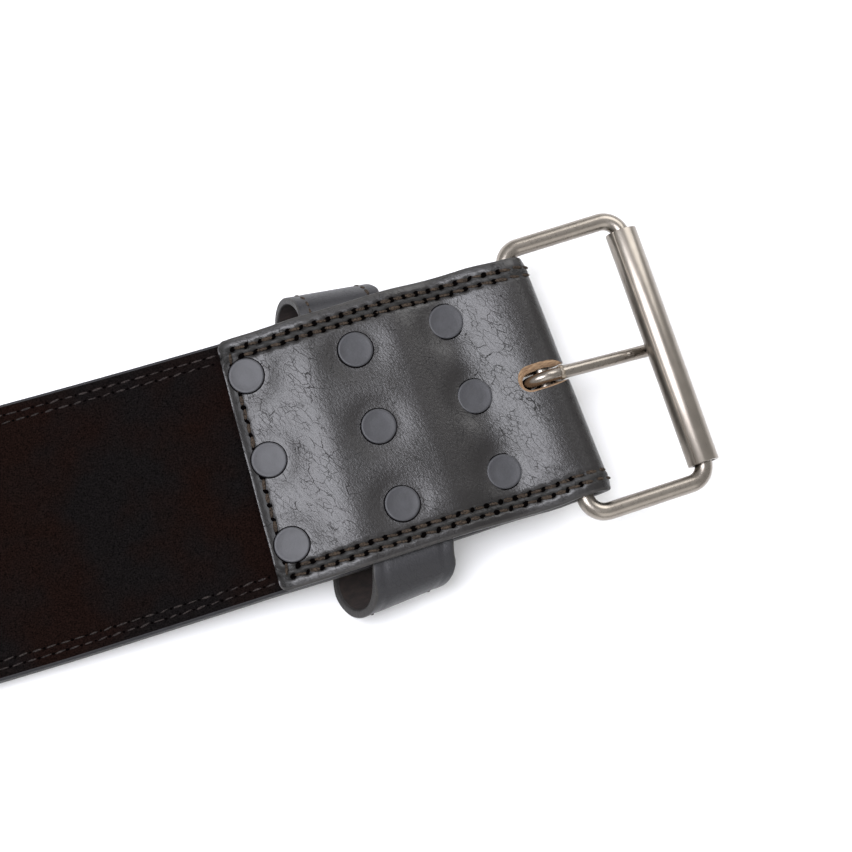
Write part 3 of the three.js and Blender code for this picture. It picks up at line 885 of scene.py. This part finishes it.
def slot_cutters():
    """The prong's slot in three parts: below the bar, through the fold's slanting wall, and between the two.
    The wall above the bar slants, most at the end and on the far side, so the raw cut shows."""
    half = SLOT_WIDTH / 2
    below = slot_outline(SLOT_BACK_BELOW, half, 0)
    low = slot_outline(SLOT_BACK - SLOT_WALL_SLANT, half - SLOT_FOOT_NARROWING, SLOT_SHIFT[0])
    high = slot_outline(SLOT_BACK + SLOT_TOP_GROWTH, half + SLOT_TOP_GROWTH, SLOT_SHIFT[1])
    inner, outer = FOLD_INNER[1], FOLD_OUTER[1]
    # The slanting outlines are carried on beyond both faces of the ply
    beyond = 1.2
    share = 1 + beyond / (outer - inner)
    cutters = []
    for first, second, bottom, top in (
            (below, below, -2 * outer, 0.5),
            (carried_on(high, low, share), carried_on(low, high, share), inner - beyond, outer + beyond),
            (low, low, -1, inner - beyond + 0.5)):
        mesh = make_mesh("slot_cutter", *prism(first, second, bottom, top))
        mesh.transform(BUCKLE_PLACE)
        outward(mesh)
        cutters.append(link("slot_cutter", mesh, [RAW_EDGE]))
    return cutters


def hole_cutter():
    """All the prong holes in one cutter."""
    vertices, faces = [], []
    punch, walls = revolved([(HOLE_DIAMETER / 2, -5), (HOLE_DIAMETER / 2, 3 * TWO_PLIES)], 32)
    for index in range(HOLE_COUNT):
        hole_x = -TAIL_LENGTH + FIRST_HOLE + index * HOLE_PITCH
        first = len(vertices)
        vertices += [(x + hole_x, y, z) for x, y, z in punch]
        faces += [tuple(first + n for n in wall) for wall in walls]
    mesh = make_mesh("hole_cutter", vertices, faces)
    return link("hole_cutter", mesh, [DARK_EDGE])


# Keeper
def keeper_mesh():
    """A closed leather band round under the belt, with rubbed edges."""
    radius = KEEPER_HEIGHT / 2 - KEEPER_WALL / 2
    centre = HALF_WIDTH + KEEPER_BULGE - KEEPER_HEIGHT / 2
    middle = KEEPER_HEIGHT / 2
    stations = []
    for side in (1, -1):
        for angle in np.linspace(-np.pi / 2, np.pi / 2, KEEPER_TURN_STEPS):
            out, up = side * math.cos(angle), side * math.sin(angle)
            stations.append((side * centre + radius * out, middle + radius * up, out, up))
        for y in np.linspace(centre, -centre, KEEPER_RUN_STEPS)[1:-1]:
            stations.append((side * y, middle + side * radius, 0, side))
    half, thick = KEEPER_WIDTH / 2, KEEPER_WALL / 2
    flat = np.linspace(KEEPER_EDGE_ROUND - half, half - KEEPER_EDGE_ROUND, KEEPER_ACROSS_STEPS)
    section = rounded_section(flat, half, thick, KEEPER_EDGE_ROUND)
    vertices = []
    for number, (y, z, out, up) in enumerate(stations):
        for across, off in section:
            lift = max(off / thick, 0) * keeper_groove(half - abs(across), number)
            height = z + up * (off + lift)
            reach = y + out * (off + lift)
            along = COLUMN_X[1] + across - slew(reach, height)
            vertices.append((along, reach + bulge(reach, across), height))
    faces = between_rings(len(stations), len(section), closed=True)
    mesh = make_mesh("keeper_band", vertices, faces, sides_of(len(flat)) * len(stations))
    outward(mesh)
    return mesh


def slew(y, z):
    """How far the keeper is pushed toward the tail: more lower down and on the near side."""
    near = float(ease(0.5 - y / BELT_WIDTH))
    below = 1 - min(z / (KEEPER_HEIGHT - KEEPER_WALL), 1)
    turned = (KEEPER_SLEW[0] + (KEEPER_SLEW[1] - KEEPER_SLEW[0]) * near) * below
    return turned + KEEPER_ASIDE * float(ease((ASIDE_START - y - HALF_WIDTH) / ASIDE_RUN))


def bulge(y, across):
    """How much further out than a half round the keeper stands, by side and by place across the band."""
    past_start = (abs(y) - HALF_WIDTH + BULGE_START) / (KEEPER_BULGE + BULGE_START)
    left, right = FAR_BULGE if y > 0 else NEAR_BULGE
    most = left + (right - left) * (across / KEEPER_WIDTH + 0.5)
    return math.copysign(1, y) * most * float(ease(past_start))


def keeper_groove(from_edge, number):
    """The furrow that the keeper's stitches pull into it, a little deeper here and there."""
    furrow = math.exp(-((from_edge - KEEPER_ROW) / KEEPER_FURROW_REACH) ** 2)
    return -KEEPER_FURROW * furrow * (0.8 + 0.2 * math.cos(number * 2.2))


# Geometry Nodes trees
def new_tree(name, sockets):
    """An empty tree with its named inputs and one output."""
    tree = bpy.data.node_groups.new(name, "GeometryNodeTree")
    tree.interface.new_socket("Geometry", in_out="OUTPUT", socket_type="NodeSocketGeometry")
    for socket, kind in sockets:
        tree.interface.new_socket(socket, in_out="INPUT", socket_type=kind)
    return tree, add(tree, "NodeGroupInput").outputs, add(tree, "NodeGroupOutput")


def run_tree(name, tree, values, mesh=None):
    """A plain mesh object made by a tree, in the belt's frame, with no modifier left."""
    piece = bpy.data.objects.new(name, mesh or bpy.data.meshes.new(name))
    bpy.context.scene.collection.objects.link(piece)
    modifier = piece.modifiers.new("Build", "NODES")
    modifier.node_group = tree
    names = {s.name: s.identifier for s in tree.interface.items_tree if s.in_out == "INPUT"}
    for key, value in values.items():
        modifier[names[key]] = value
    settle(piece)
    piece.data.name = name
    return piece


def stitch_tree():
    """A grain of thread, or of shade, at each point of the paths, lying along them and on the surface."""
    tree, given, out = new_tree("Stitches along a path", [
        ("Paths", "NodeSocketGeometry"), ("Length", "NodeSocketFloat"),
        ("Width", "NodeSocketFloat"), ("Height", "NodeSocketFloat"), ("Slant", "NodeSocketFloat"),
        ("Jitter", "NodeSocketFloat"), ("Seed", "NodeSocketInt"), ("Material", "NodeSocketMaterial")])
    curve = add(tree, "GeometryNodeMeshToCurve", None, {"Mesh": given["Paths"]})
    grain = add(tree, "GeometryNodeMeshUVSphere", None, {"Segments": 8, "Rings": 6, "Radius": 0.5})
    size = add(tree, "ShaderNodeCombineXYZ", None, {
        "X": given["Length"], "Y": given["Width"], "Z": given["Height"]})
    shaped = add(tree, "GeometryNodeTransform", None, {
        "Geometry": grain.outputs["Mesh"], "Scale": size.outputs["Vector"]})
    smooth = add(tree, "GeometryNodeSetShadeSmooth", None, {"Geometry": shaped.outputs["Geometry"]})
    tangent = add(tree, "GeometryNodeInputTangent")
    up = add(tree, "GeometryNodeInputNamedAttribute", {"data_type": "FLOAT_VECTOR"}, {"Name": "up"})
    along = add(tree, "FunctionNodeAlignRotationToVector", {"axis": "X"}, {
        "Vector": tangent.outputs["Tangent"]})
    stood = add(tree, "FunctionNodeAlignRotationToVector", {"axis": "Z", "pivot_axis": "X"}, {
        "Rotation": along.outputs["Rotation"], "Vector": up.outputs["Attribute"]})
    least = add(tree, "ShaderNodeMath", {"operation": "SUBTRACT"}, {0: given["Slant"], 1: given["Jitter"]})
    most = add(tree, "ShaderNodeMath", {"operation": "ADD"}, {0: given["Slant"], 1: given["Jitter"]})
    turn = add(tree, "FunctionNodeRandomValue", {"data_type": "FLOAT"}, {
        2: least.outputs[0], 3: most.outputs[0], "Seed": given["Seed"]})
    about = add(tree, "ShaderNodeCombineXYZ", None, {"Z": turn.outputs[1]})
    turned = add(tree, "FunctionNodeRotateRotation", {"rotation_space": "LOCAL"}, {
        "Rotation": stood.outputs["Rotation"], "Rotate By": about.outputs["Vector"]})
    uneven = add(tree, "FunctionNodeRandomValue", {"data_type": "FLOAT_VECTOR"}, {
        0: (0.8, 0.75, 0.85), 1: (1.15, 1.25, 1.15), "Seed": given["Seed"]})
    placed = add(tree, "GeometryNodeInstanceOnPoints", None, {
        "Points": curve.outputs["Curve"], "Instance": smooth.outputs["Geometry"],
        "Rotation": turned.outputs["Rotation"], "Scale": uneven.outputs[0]})
    real = add(tree, "GeometryNodeRealizeInstances", None, {"Geometry": placed.outputs["Instances"]})
    finished = add(tree, "GeometryNodeSetMaterial", None, {
        "Geometry": real.outputs["Geometry"], "Material": given["Material"]})
    tree.links.new(finished.outputs["Geometry"], out.inputs["Geometry"])
    return tree


def wire_frame_tree():
    """A closed rectangle of round wire with bent corners."""
    tree, given, out = new_tree("Bent wire frame", [
        ("Reach", "NodeSocketFloat"), ("Width", "NodeSocketFloat"), ("Corner", "NodeSocketFloat"),
        ("Wire", "NodeSocketFloat"), ("Material", "NodeSocketMaterial")])
    path = add(tree, "GeometryNodeCurvePrimitiveQuadrilateral", None, {
        "Width": given["Reach"], "Height": given["Width"]})
    bent = add(tree, "GeometryNodeFilletCurve", {"mode": "POLY"}, {
        "Curve": path.outputs["Curve"], "Count": 14, "Radius": given["Corner"]})
    radius = add(tree, "ShaderNodeMath", {"operation": "MULTIPLY"}, {0: given["Wire"], 1: 0.5})
    section = add(tree, "GeometryNodeCurvePrimitiveCircle", None, {
        "Resolution": 32, "Radius": radius.outputs[0]})
    swept = add(tree, "GeometryNodeCurveToMesh", None, {
        "Curve": bent.outputs["Curve"], "Profile Curve": section.outputs["Curve"]})
    smooth = add(tree, "GeometryNodeSetShadeSmooth", None, {"Geometry": swept.outputs["Mesh"]})
    real = add(tree, "GeometryNodeRealizeInstances", None, {"Geometry": smooth.outputs["Geometry"]})
    finished = add(tree, "GeometryNodeSetMaterial", None, {
        "Geometry": real.outputs["Geometry"], "Material": given["Material"]})
    tree.links.new(finished.outputs["Geometry"], out.inputs["Geometry"])
    return tree


STITCHES = stitch_tree()


def path_mesh(paths):
    """Paths of (point, up) as loose edges, with each point's up kept as an attribute."""
    vertices, edges, ups = [], [], []
    for path in paths:
        first = len(vertices)
        vertices += [tuple(point) for point, _ in path]
        ups += [c for _, up in path for c in up]
        edges += [(first + n, first + n + 1) for n in range(len(path) - 1)]
    mesh = bpy.data.meshes.new("paths")
    mesh.from_pydata(vertices, edges, [])
    mesh.attributes.new("up", "FLOAT_VECTOR", "POINT").data.foreach_set("vector", ups)
    return mesh


def sew(name, paths, size, slant, seed, material, jitter=0.05):
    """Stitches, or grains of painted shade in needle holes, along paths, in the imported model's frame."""
    length, width, height = size
    piece = run_tree(name, STITCHES, {
        "Length": length, "Width": width, "Height": height, "Slant": slant,
        "Jitter": jitter, "Seed": seed, "Material": material}, path_mesh(paths))
    piece.data.transform(TO_FRAME)
    return piece


def on_flap(x, y, lift):
    """A point on the flap's face and the way up there."""
    slope = slope_of(flap_top, x)
    up = Vector((-slope, 0, 1)).normalized()
    point = Vector((x + lean(x) * y, y + drift(x), flap_top(x) + float(ripple(x, y))))
    return point + up * lift, up


def on_fold(along, y, lift):
    """The same past the bar, where along is measured on the fold's outer face."""
    angle = math.pi / 2 * (1 - (along - BAR_X) / FOLD_QUARTER)
    up = Vector((math.cos(angle) * FOLD_OUTER[1], 0, math.sin(angle) * FOLD_OUTER[0])).normalized()
    x = BAR_X + FOLD_OUTER[0] * math.cos(angle)
    place = Vector((x + lean(BAR_X) * y, y + drift(BAR_X), BAR_HEIGHT + FOLD_OUTER[1] * math.sin(angle)))
    return place + up * lift, up


def row_places(start, end, shift):
    """Places between start and end where needle_place is 0, or shift of a pitch past it."""
    first = math.ceil(start / STITCH_PITCH - shift)
    last = math.floor(end / STITCH_PITCH - shift)
    return [(n + shift) * STITCH_PITCH for n in range(first, last + 1)]


def flap_paths(shift, lift, end):
    """Two rows along each long edge, the inner one staggered, and one row along the flap's end."""
    paths = []
    for side in (1, -1):
        for number, inner in enumerate(FLAP_ROWS):
            path = []
            for along in row_places(inner - 0.5, end, shift + 0.5 * number):
                y = side * (half_width(min(along, BAR_X)) - inner)
                path.append(on_flap(along, y, lift) if along < BAR_X else on_fold(along, y, lift))
            paths.append(path)
    reach = HALF_WIDTH - FLAP_ROWS[1]
    paths.append([on_flap(END_ROW, y, lift) for y in row_places(-reach, reach, shift)])
    return paths


def ply_paths(shift, lift):
    """Two rows along each long edge of the suede, up to the flap."""
    paths = []
    for side in (1, -1):
        for number, inner in enumerate(PLY_ROWS):
            path = []
            for x in row_places(-TAIL_LENGTH + TIP_CORNER, -1, shift + 0.5 * number):
                y = side * (half_width(x) - inner)
                up = Vector((-slope_of(underside, x), 0, 1)).normalized()
                height = ply_floor(x) + INNER_PLY + float(ply_ripple(x, y))
                path.append((Vector((x + lean(x) * y, y + drift(x), height)) + up * lift, up))
            paths.append(path)
    return paths


def keeper_paths(lift):
    """One row near each edge of the keeper's outer face, round both bulges and under the belt."""
    radius = KEEPER_HEIGHT / 2
    centre = HALF_WIDTH + KEEPER_BULGE - radius
    quarter = radius * math.pi / 2
    reach = 2 * quarter + 2 * centre
    paths = []
    for side in (1, -1):
        across = side * (KEEPER_WIDTH / 2 - KEEPER_ROW)
        row = []
        for run in row_places(-quarter + 1, reach + 1, 0.25):
            straight = min(max(run - quarter, 0), 2 * centre)
            angle = -(run - straight) / radius
            y = centre - straight + radius * math.cos(angle)
            z = radius * (1 + math.sin(angle))
            up = Vector((0, math.cos(angle), math.sin(angle)))
            place = Vector((COLUMN_X[1] + across - slew(y, z), y + bulge(y, across), z))
            row.append((place + up * lift, up))
        paths.append(row)
    return paths


# Buckle pieces
def roller_mesh():
    """A tube rolled from sheet, with its seam and softened ends."""
    half = HALF_WIDTH + FRAME_SIDE_GAP - ROLLER_END_GAP
    outer, bore, soft = ROLLER_DIAMETER / 2, ROLLER_DIAMETER / 2 - ROLLER_WALL, 0.3
    sides = 96
    seam = math.radians(ROLLER_SEAM_ANGLE)
    end = [(bore, -half), (outer - soft, -half),
           (outer - 0.3 * soft, -half + 0.3 * soft), (outer, -half + soft)]
    rings = end + [(radius, -y) for radius, y in end[::-1]]
    vertices = []
    for radius, y in rings:
        for n in range(sides):
            angle = 2 * math.pi * n / sides + seam
            notch = ROLLER_SEAM if n == 0 and radius > bore else 0
            vertices.append(((radius - notch) * math.cos(angle), y, (radius - notch) * math.sin(angle)))
    mesh = make_mesh("roller_tube", vertices, between_rings(len(rings), sides, closed=True))
    outward(mesh)
    mesh.transform(BUCKLE_PLACE @ FRAME_SHIFT @ Matrix.Translation((FRAME_REACH, 0, 0)))
    return mesh


def swept_tube(centres, radii, sides=28):
    """A round tube through centres in the plane y = 0, of the given radius at each, closed at its ends."""
    vertices = []
    for number, (centre, radius) in enumerate(zip(centres, radii)):
        before = centres[max(number - 1, 0)]
        after = centres[min(number + 1, len(centres) - 1)]
        run = (Vector(after) - Vector(before)).normalized()
        side = Vector((0, 1, 0))
        up = run.cross(side)
        for n in range(sides):
            angle = 2 * math.pi * n / sides
            out = side * (radius * math.cos(angle)) + up * (radius * math.sin(angle))
            vertices.append(Vector(centre) + out)
    return vertices, between_rings(len(centres), sides) + end_faces(len(centres), sides)


def prong_mesh():
    """Wire bent into an eye round the bar and brazed back on itself. Its shank rests under the roller."""
    radius = PRONG_WIRE / 2
    eye = WIRE / 2 + PRONG_EYE_GAP + radius
    below = ROLLER_DIAMETER / 2 + PRONG_ROLLER_GAP + radius
    fall = math.asin((eye + below) / FRAME_REACH)
    length = FRAME_REACH * math.cos(fall) + PRONG_TIP_PAST_ROLLER
    run = Vector((math.cos(fall), 0, -math.sin(fall)))
    start = Vector((eye * math.sin(fall), 0, eye * math.cos(fall)))
    narrow = PRONG_EYE_WIDTH / 2
    around, sides = 56, 24
    ring = []
    for a in np.linspace(0, 2 * np.pi, around, endpoint=False):
        for b in np.linspace(0, 2 * np.pi, sides, endpoint=False):
            out = eye + radius * math.cos(b)
            ring.append((out * math.cos(a), narrow * math.sin(b), out * math.sin(a)))
    eye_mesh = make_mesh("eye", ring, between_rings(around, sides, closed=True))
    weld = WELD_PLACE - eye * math.sin(fall)
    radius = PRONG_SHANK / 2
    tip = radius * 0.8
    stations = [0.0, weld, weld + 0.7, weld + 1.6, weld + 3, 20.0, 30.0, length - tip]
    radii = [narrow, narrow, narrow + 0.1, radius - 0.05] + [radius] * 4
    for angle in np.linspace(0, np.pi / 2, 8)[1:-1]:
        stations.append(length - tip + tip * math.sin(angle))
        radii.append(radius * math.cos(angle))
    vertices, faces = swept_tube([start + run * s for s in stations], radii)
    shank = make_mesh("shank", vertices, faces)
    burr = weld_burr(start + run * weld, run, narrow)
    mark = press_mark(start + run * (length - PRESS_MARK_TO_TIP), run, radius)
    return [eye_mesh, shank, burr, mark]


def weld_burr(centre, run, radius):
    """A rough bead where the wire's end meets the shank, flattened by the file."""
    side = Vector((0, 1, 0))
    up = side.cross(run) * -1
    vertices = []
    around, sides = 40, 10
    for i in range(around):
        a = 2 * math.pi * i / around
        out = side * math.cos(a) + up * math.sin(a)
        rough = 1 + 0.3 * math.sin(3 * a + 0.7) + 0.25 * math.sin(7 * a + 2.1) + 0.15 * math.sin(13 * a)
        wander = run * (0.35 * math.sin(2 * a + 1.1) + 0.2 * math.sin(5 * a))
        for j in range(sides):
            b = 2 * math.pi * j / sides
            reach = radius + 0.05 + 0.5 * rough * math.cos(b)
            vertices.append(centre + wander + out * reach + run * (0.8 * rough * math.sin(b)))
    faces = between_rings(around, sides, closed=True)
    return make_mesh("burr", vertices, faces, [1] * len(faces))


def press_mark(centre, run, radius):
    """A small raised lump left by the bending tool, on top of the shank near its tip."""
    side = Vector((0, 1, 0))
    up = side.cross(run) * -1
    vertices, faces = revolved([(0.02, -1), (0.7, -0.7), (1.0, 0), (0.7, 0.7), (0.02, 1)], 14)
    placed = [centre + up * (radius - 0.05) + run * (x * 1.5) + side * (y * 0.9) + up * (z * 0.35)
              for x, y, z in vertices]
    return make_mesh("mark", placed, faces)


def joined(name, meshes, materials, place):
    """Meshes joined into one piece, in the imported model's frame."""
    work = bmesh.new()
    for mesh in meshes:
        work.from_mesh(mesh)
    bmesh.ops.recalc_face_normals(work, faces=work.faces)
    whole = bpy.data.meshes.new(name)
    work.to_mesh(whole)
    work.free()
    whole.transform(place)
    whole.shade_smooth()
    return link(name, whole, materials)


def rivet_mesh(place, tilt, grip):
    """A flat cap with a softened rim, its post, and the smaller cap behind."""
    head, back, post = RIVET_HEAD / 2, RIVET_BACK / 2, RIVET_SHANK / 2
    bevel = RIVET_HEAD_BEVEL
    top = RIVET_HEAD_THICKNESS - RIVET_SEAT
    bottom = -grip + RIVET_SEAT - RIVET_BACK_THICKNESS
    back_seat = -grip + RIVET_SEAT
    rim = head + RIVET_RIM
    profile = [(back * 0.5, bottom), (back - bevel, bottom), (back - 0.3 * bevel, bottom + 0.3 * bevel),
               (back, bottom + bevel), (back, back_seat), (post, back_seat), (post, -RIVET_SEAT),
               (rim, -RIVET_SEAT), (rim, 0.02), (head, 0.05), (head, top - bevel),
               (head - 0.3 * bevel, top - 0.3 * bevel), (head - bevel, top), (head - 0.9, top + 0.01),
               (head - 1.3, top - 0.07), (head * 0.45, top - 0.09), (head * 0.1, top - 0.1)]
    sides = 64
    vertices, faces = revolved(profile, sides)
    # The seat under the head and the rim that stands out round it lie in shade, which is painted on them
    # near-black
    shaded = range(6 * sides, 9 * sides)
    mesh = make_mesh("rivet", vertices, faces, [1 if n in shaded else 0 for n in range(len(faces))])
    outward(mesh)
    mesh.transform(Matrix.Translation(place) @ Matrix.Rotation(tilt, 4, "Y"))
    return mesh


def build_leather():
    """The smooth ply with its slot and holes, the suede ply, and the keeper."""
    strap = link("strap_leather", strip_mesh("strap_leather", strap_rows(), flap_relief, flap_seam),
                 [FLAP_LEATHER, RUBBED_EDGE, FLESH_SIDE, DARK_EDGE])
    for cutter in slot_cutters():
        cut(strap, cutter)
    cut(strap, hole_cutter())
    sharpen(strap, 38)
    ply = link("suede_ply", strip_mesh("suede_ply", ply_rows(), ply_relief, ply_seam),
               [SUEDE, DARK_EDGE, FLESH_SIDE, DARK_EDGE])
    cut(ply, hole_cutter())
    sharpen(ply, 38)
    keeper = link("keeper_band", keeper_mesh(), [KEEPER_LEATHER, RUBBED_EDGE, FLESH_SIDE])
    for piece, node, slot in (
            (strap, "outer_strap", "smooth_leather"),
            (ply, "inner_ply", "suede_leather"),
            (keeper, "keeper_loop", "keeper_leather")):
        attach(piece, "belt")
        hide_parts(node)


def build_stitches():
    """Threads half a pitch from the needle holes, each kind a piece of its own."""
    thread_end = BAR_X + 0.75 * FOLD_QUARTER
    flap = sew("flap_stitches", flap_paths(0.5, -0.25, thread_end), FLAP_STITCH,
               math.radians(-7), 3, THREAD_BROWN)
    # the needle holes are near-black grains of painted shade
    holes = sew("flap_needle_hole_shade", flap_paths(0, -0.3, BAR_X - 3), FLAP_HOLE_SHADE, 0.5, 5, HOLE_SHADE, 0.5)
    ply = sew("ply_stitches", ply_paths(0.5, -0.3), PLY_STITCH, 0.1, 7, THREAD_BLACK, 0.12)
    ply_holes = sew("ply_needle_hole_shade", ply_paths(0, -0.35), PLY_HOLE_SHADE, 0, 9, HOLE_SHADE)
    keeper = sew("keeper_stitches", keeper_paths(-0.3), KEEPER_STITCH, 0.06, 11, THREAD_BROWN)
    for piece, slot in ((flap, "smooth_leather"), (holes, "smooth_leather"), (ply, "suede_leather"),
                        (ply_holes, "suede_leather"), (keeper, "keeper_leather")):
        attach(piece, "belt")


def build_rivets():
    """Nine rivets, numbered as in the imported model: column by column from the flap's end."""
    for number, (place, tilt, grip) in enumerate(RIVETS, start=1):
        rivet = link(f"rivet_cap_{number}", rivet_mesh(place, tilt, grip), [ENAMEL, SEAT_SHADE])
        sharpen(rivet, 50)
        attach(rivet, "belt")
        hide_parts(f"rivet_{number}")


def build_buckle():
    """The wire frame, the roller on its far bar, and the prong."""
    wire = run_tree("frame_wire", wire_frame_tree(), {
        "Reach": FRAME_REACH, "Width": 2 * FRAME_HALF, "Corner": FRAME_CORNER, "Wire": WIRE,
        "Material": NICKEL_WIRE})
    centred = Matrix.Translation((FRAME_REACH / 2, 0, 0))
    wire.data.transform(TO_FRAME @ BUCKLE_PLACE @ FRAME_SHIFT @ centred)
    roller = link("roller_tube", roller_mesh(), [NICKEL_TUBE])
    sharpen(roller, 40)
    prong = joined("prong_wire", prong_mesh(), [NICKEL_WIRE, WELD_BEAD], BUCKLE_PLACE)
    sharpen(prong, 50)
    for piece, body, node in (
            (wire, "buckle", "buckle_frame"), (roller, "roller", "roller"), (prong, "prong", "prong")):
        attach(piece, body)
        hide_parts(node)


# Camera, floor and light. The camera's place and axes were fitted to the belt's edges, rivets and buckle.
LENS = 101.74
CAMERA_PLACE = (-84.42, -130.91, 937.35)
CAMERA_RIGHT = (0.94888, -0.29147, 0.12111)
CAMERA_UP = (0.26838, 0.94702, 0.17644)
CAMERA_BACK = (-0.16612, -0.13492, 0.97683)
LIGHTS_AIM = (60, 0, 20)


def place_camera():
    """A camera at the photograph's viewing angle."""
    camera = bpy.data.cameras.new("camera")
    camera.lens = LENS
    camera.sensor_width = 36
    camera.clip_end = 20
    holder = bpy.data.objects.new("camera", camera)
    axes = Matrix((CAMERA_RIGHT, CAMERA_UP, CAMERA_BACK)).transposed().to_4x4()
    holder.matrix_world = Matrix.Translation(TO_FRAME @ Vector(CAMERA_PLACE)) @ axes
    bpy.context.scene.collection.objects.link(holder)
    bpy.context.scene.camera = holder


def add_light(name, toward, distance, size, power, tint):
    """A square softbox aimed at the flap, standing in the given direction from it. Distances in metres."""
    light = bpy.data.lights.new(name, "AREA")
    light.shape = "SQUARE"
    light.size = size
    light.energy = power
    light.color = tint
    holder = bpy.data.objects.new(name, light)
    way = Vector(toward).normalized()
    holder.location = TO_FRAME @ Vector(LIGHTS_AIM) + way * distance
    holder.rotation_euler = way.to_track_quat("Z", "Y").to_euler()
    bpy.context.scene.collection.objects.link(holder)


def build_studio():
    """A white paper floor, an even white surround, and three softboxes."""
    floor_mesh = bpy.data.meshes.new("floor")
    floor_mesh.from_pydata([(-6, -6, 0), (6, -6, 0), (6, 6, 0), (-6, 6, 0)], [], [(0, 1, 2, 3)])
    floor_mesh.materials.append(studio_paper())
    floor = bpy.data.objects.new("floor", floor_mesh)
    bpy.context.scene.collection.objects.link(floor)
    world = bpy.data.worlds.new("studio")
    world.use_nodes = True
    back = world.node_tree.nodes["Background"]
    back.inputs["Color"].default_value = (1, 1, 1, 1)
    back.inputs["Strength"].default_value = 0.6
    bpy.context.scene.world = world
    add_light("key", (-0.36, 0.13, 0.93), 1.6, 1.0, 32, (0.92, 0.93, 1))
    add_light("fill_far", (0.7, 0.75, 0.75), 2.0, 1.3, 19, (1, 1, 1))
    add_light("fill_near", (0.1, -1.0, 0.7), 2.0, 1.5, 8, (1, 1, 1))
    bpy.context.scene.view_settings.view_transform = "Standard"


build_leather()
build_stitches()
build_rivets()
build_buckle()
place_camera()
build_studio()
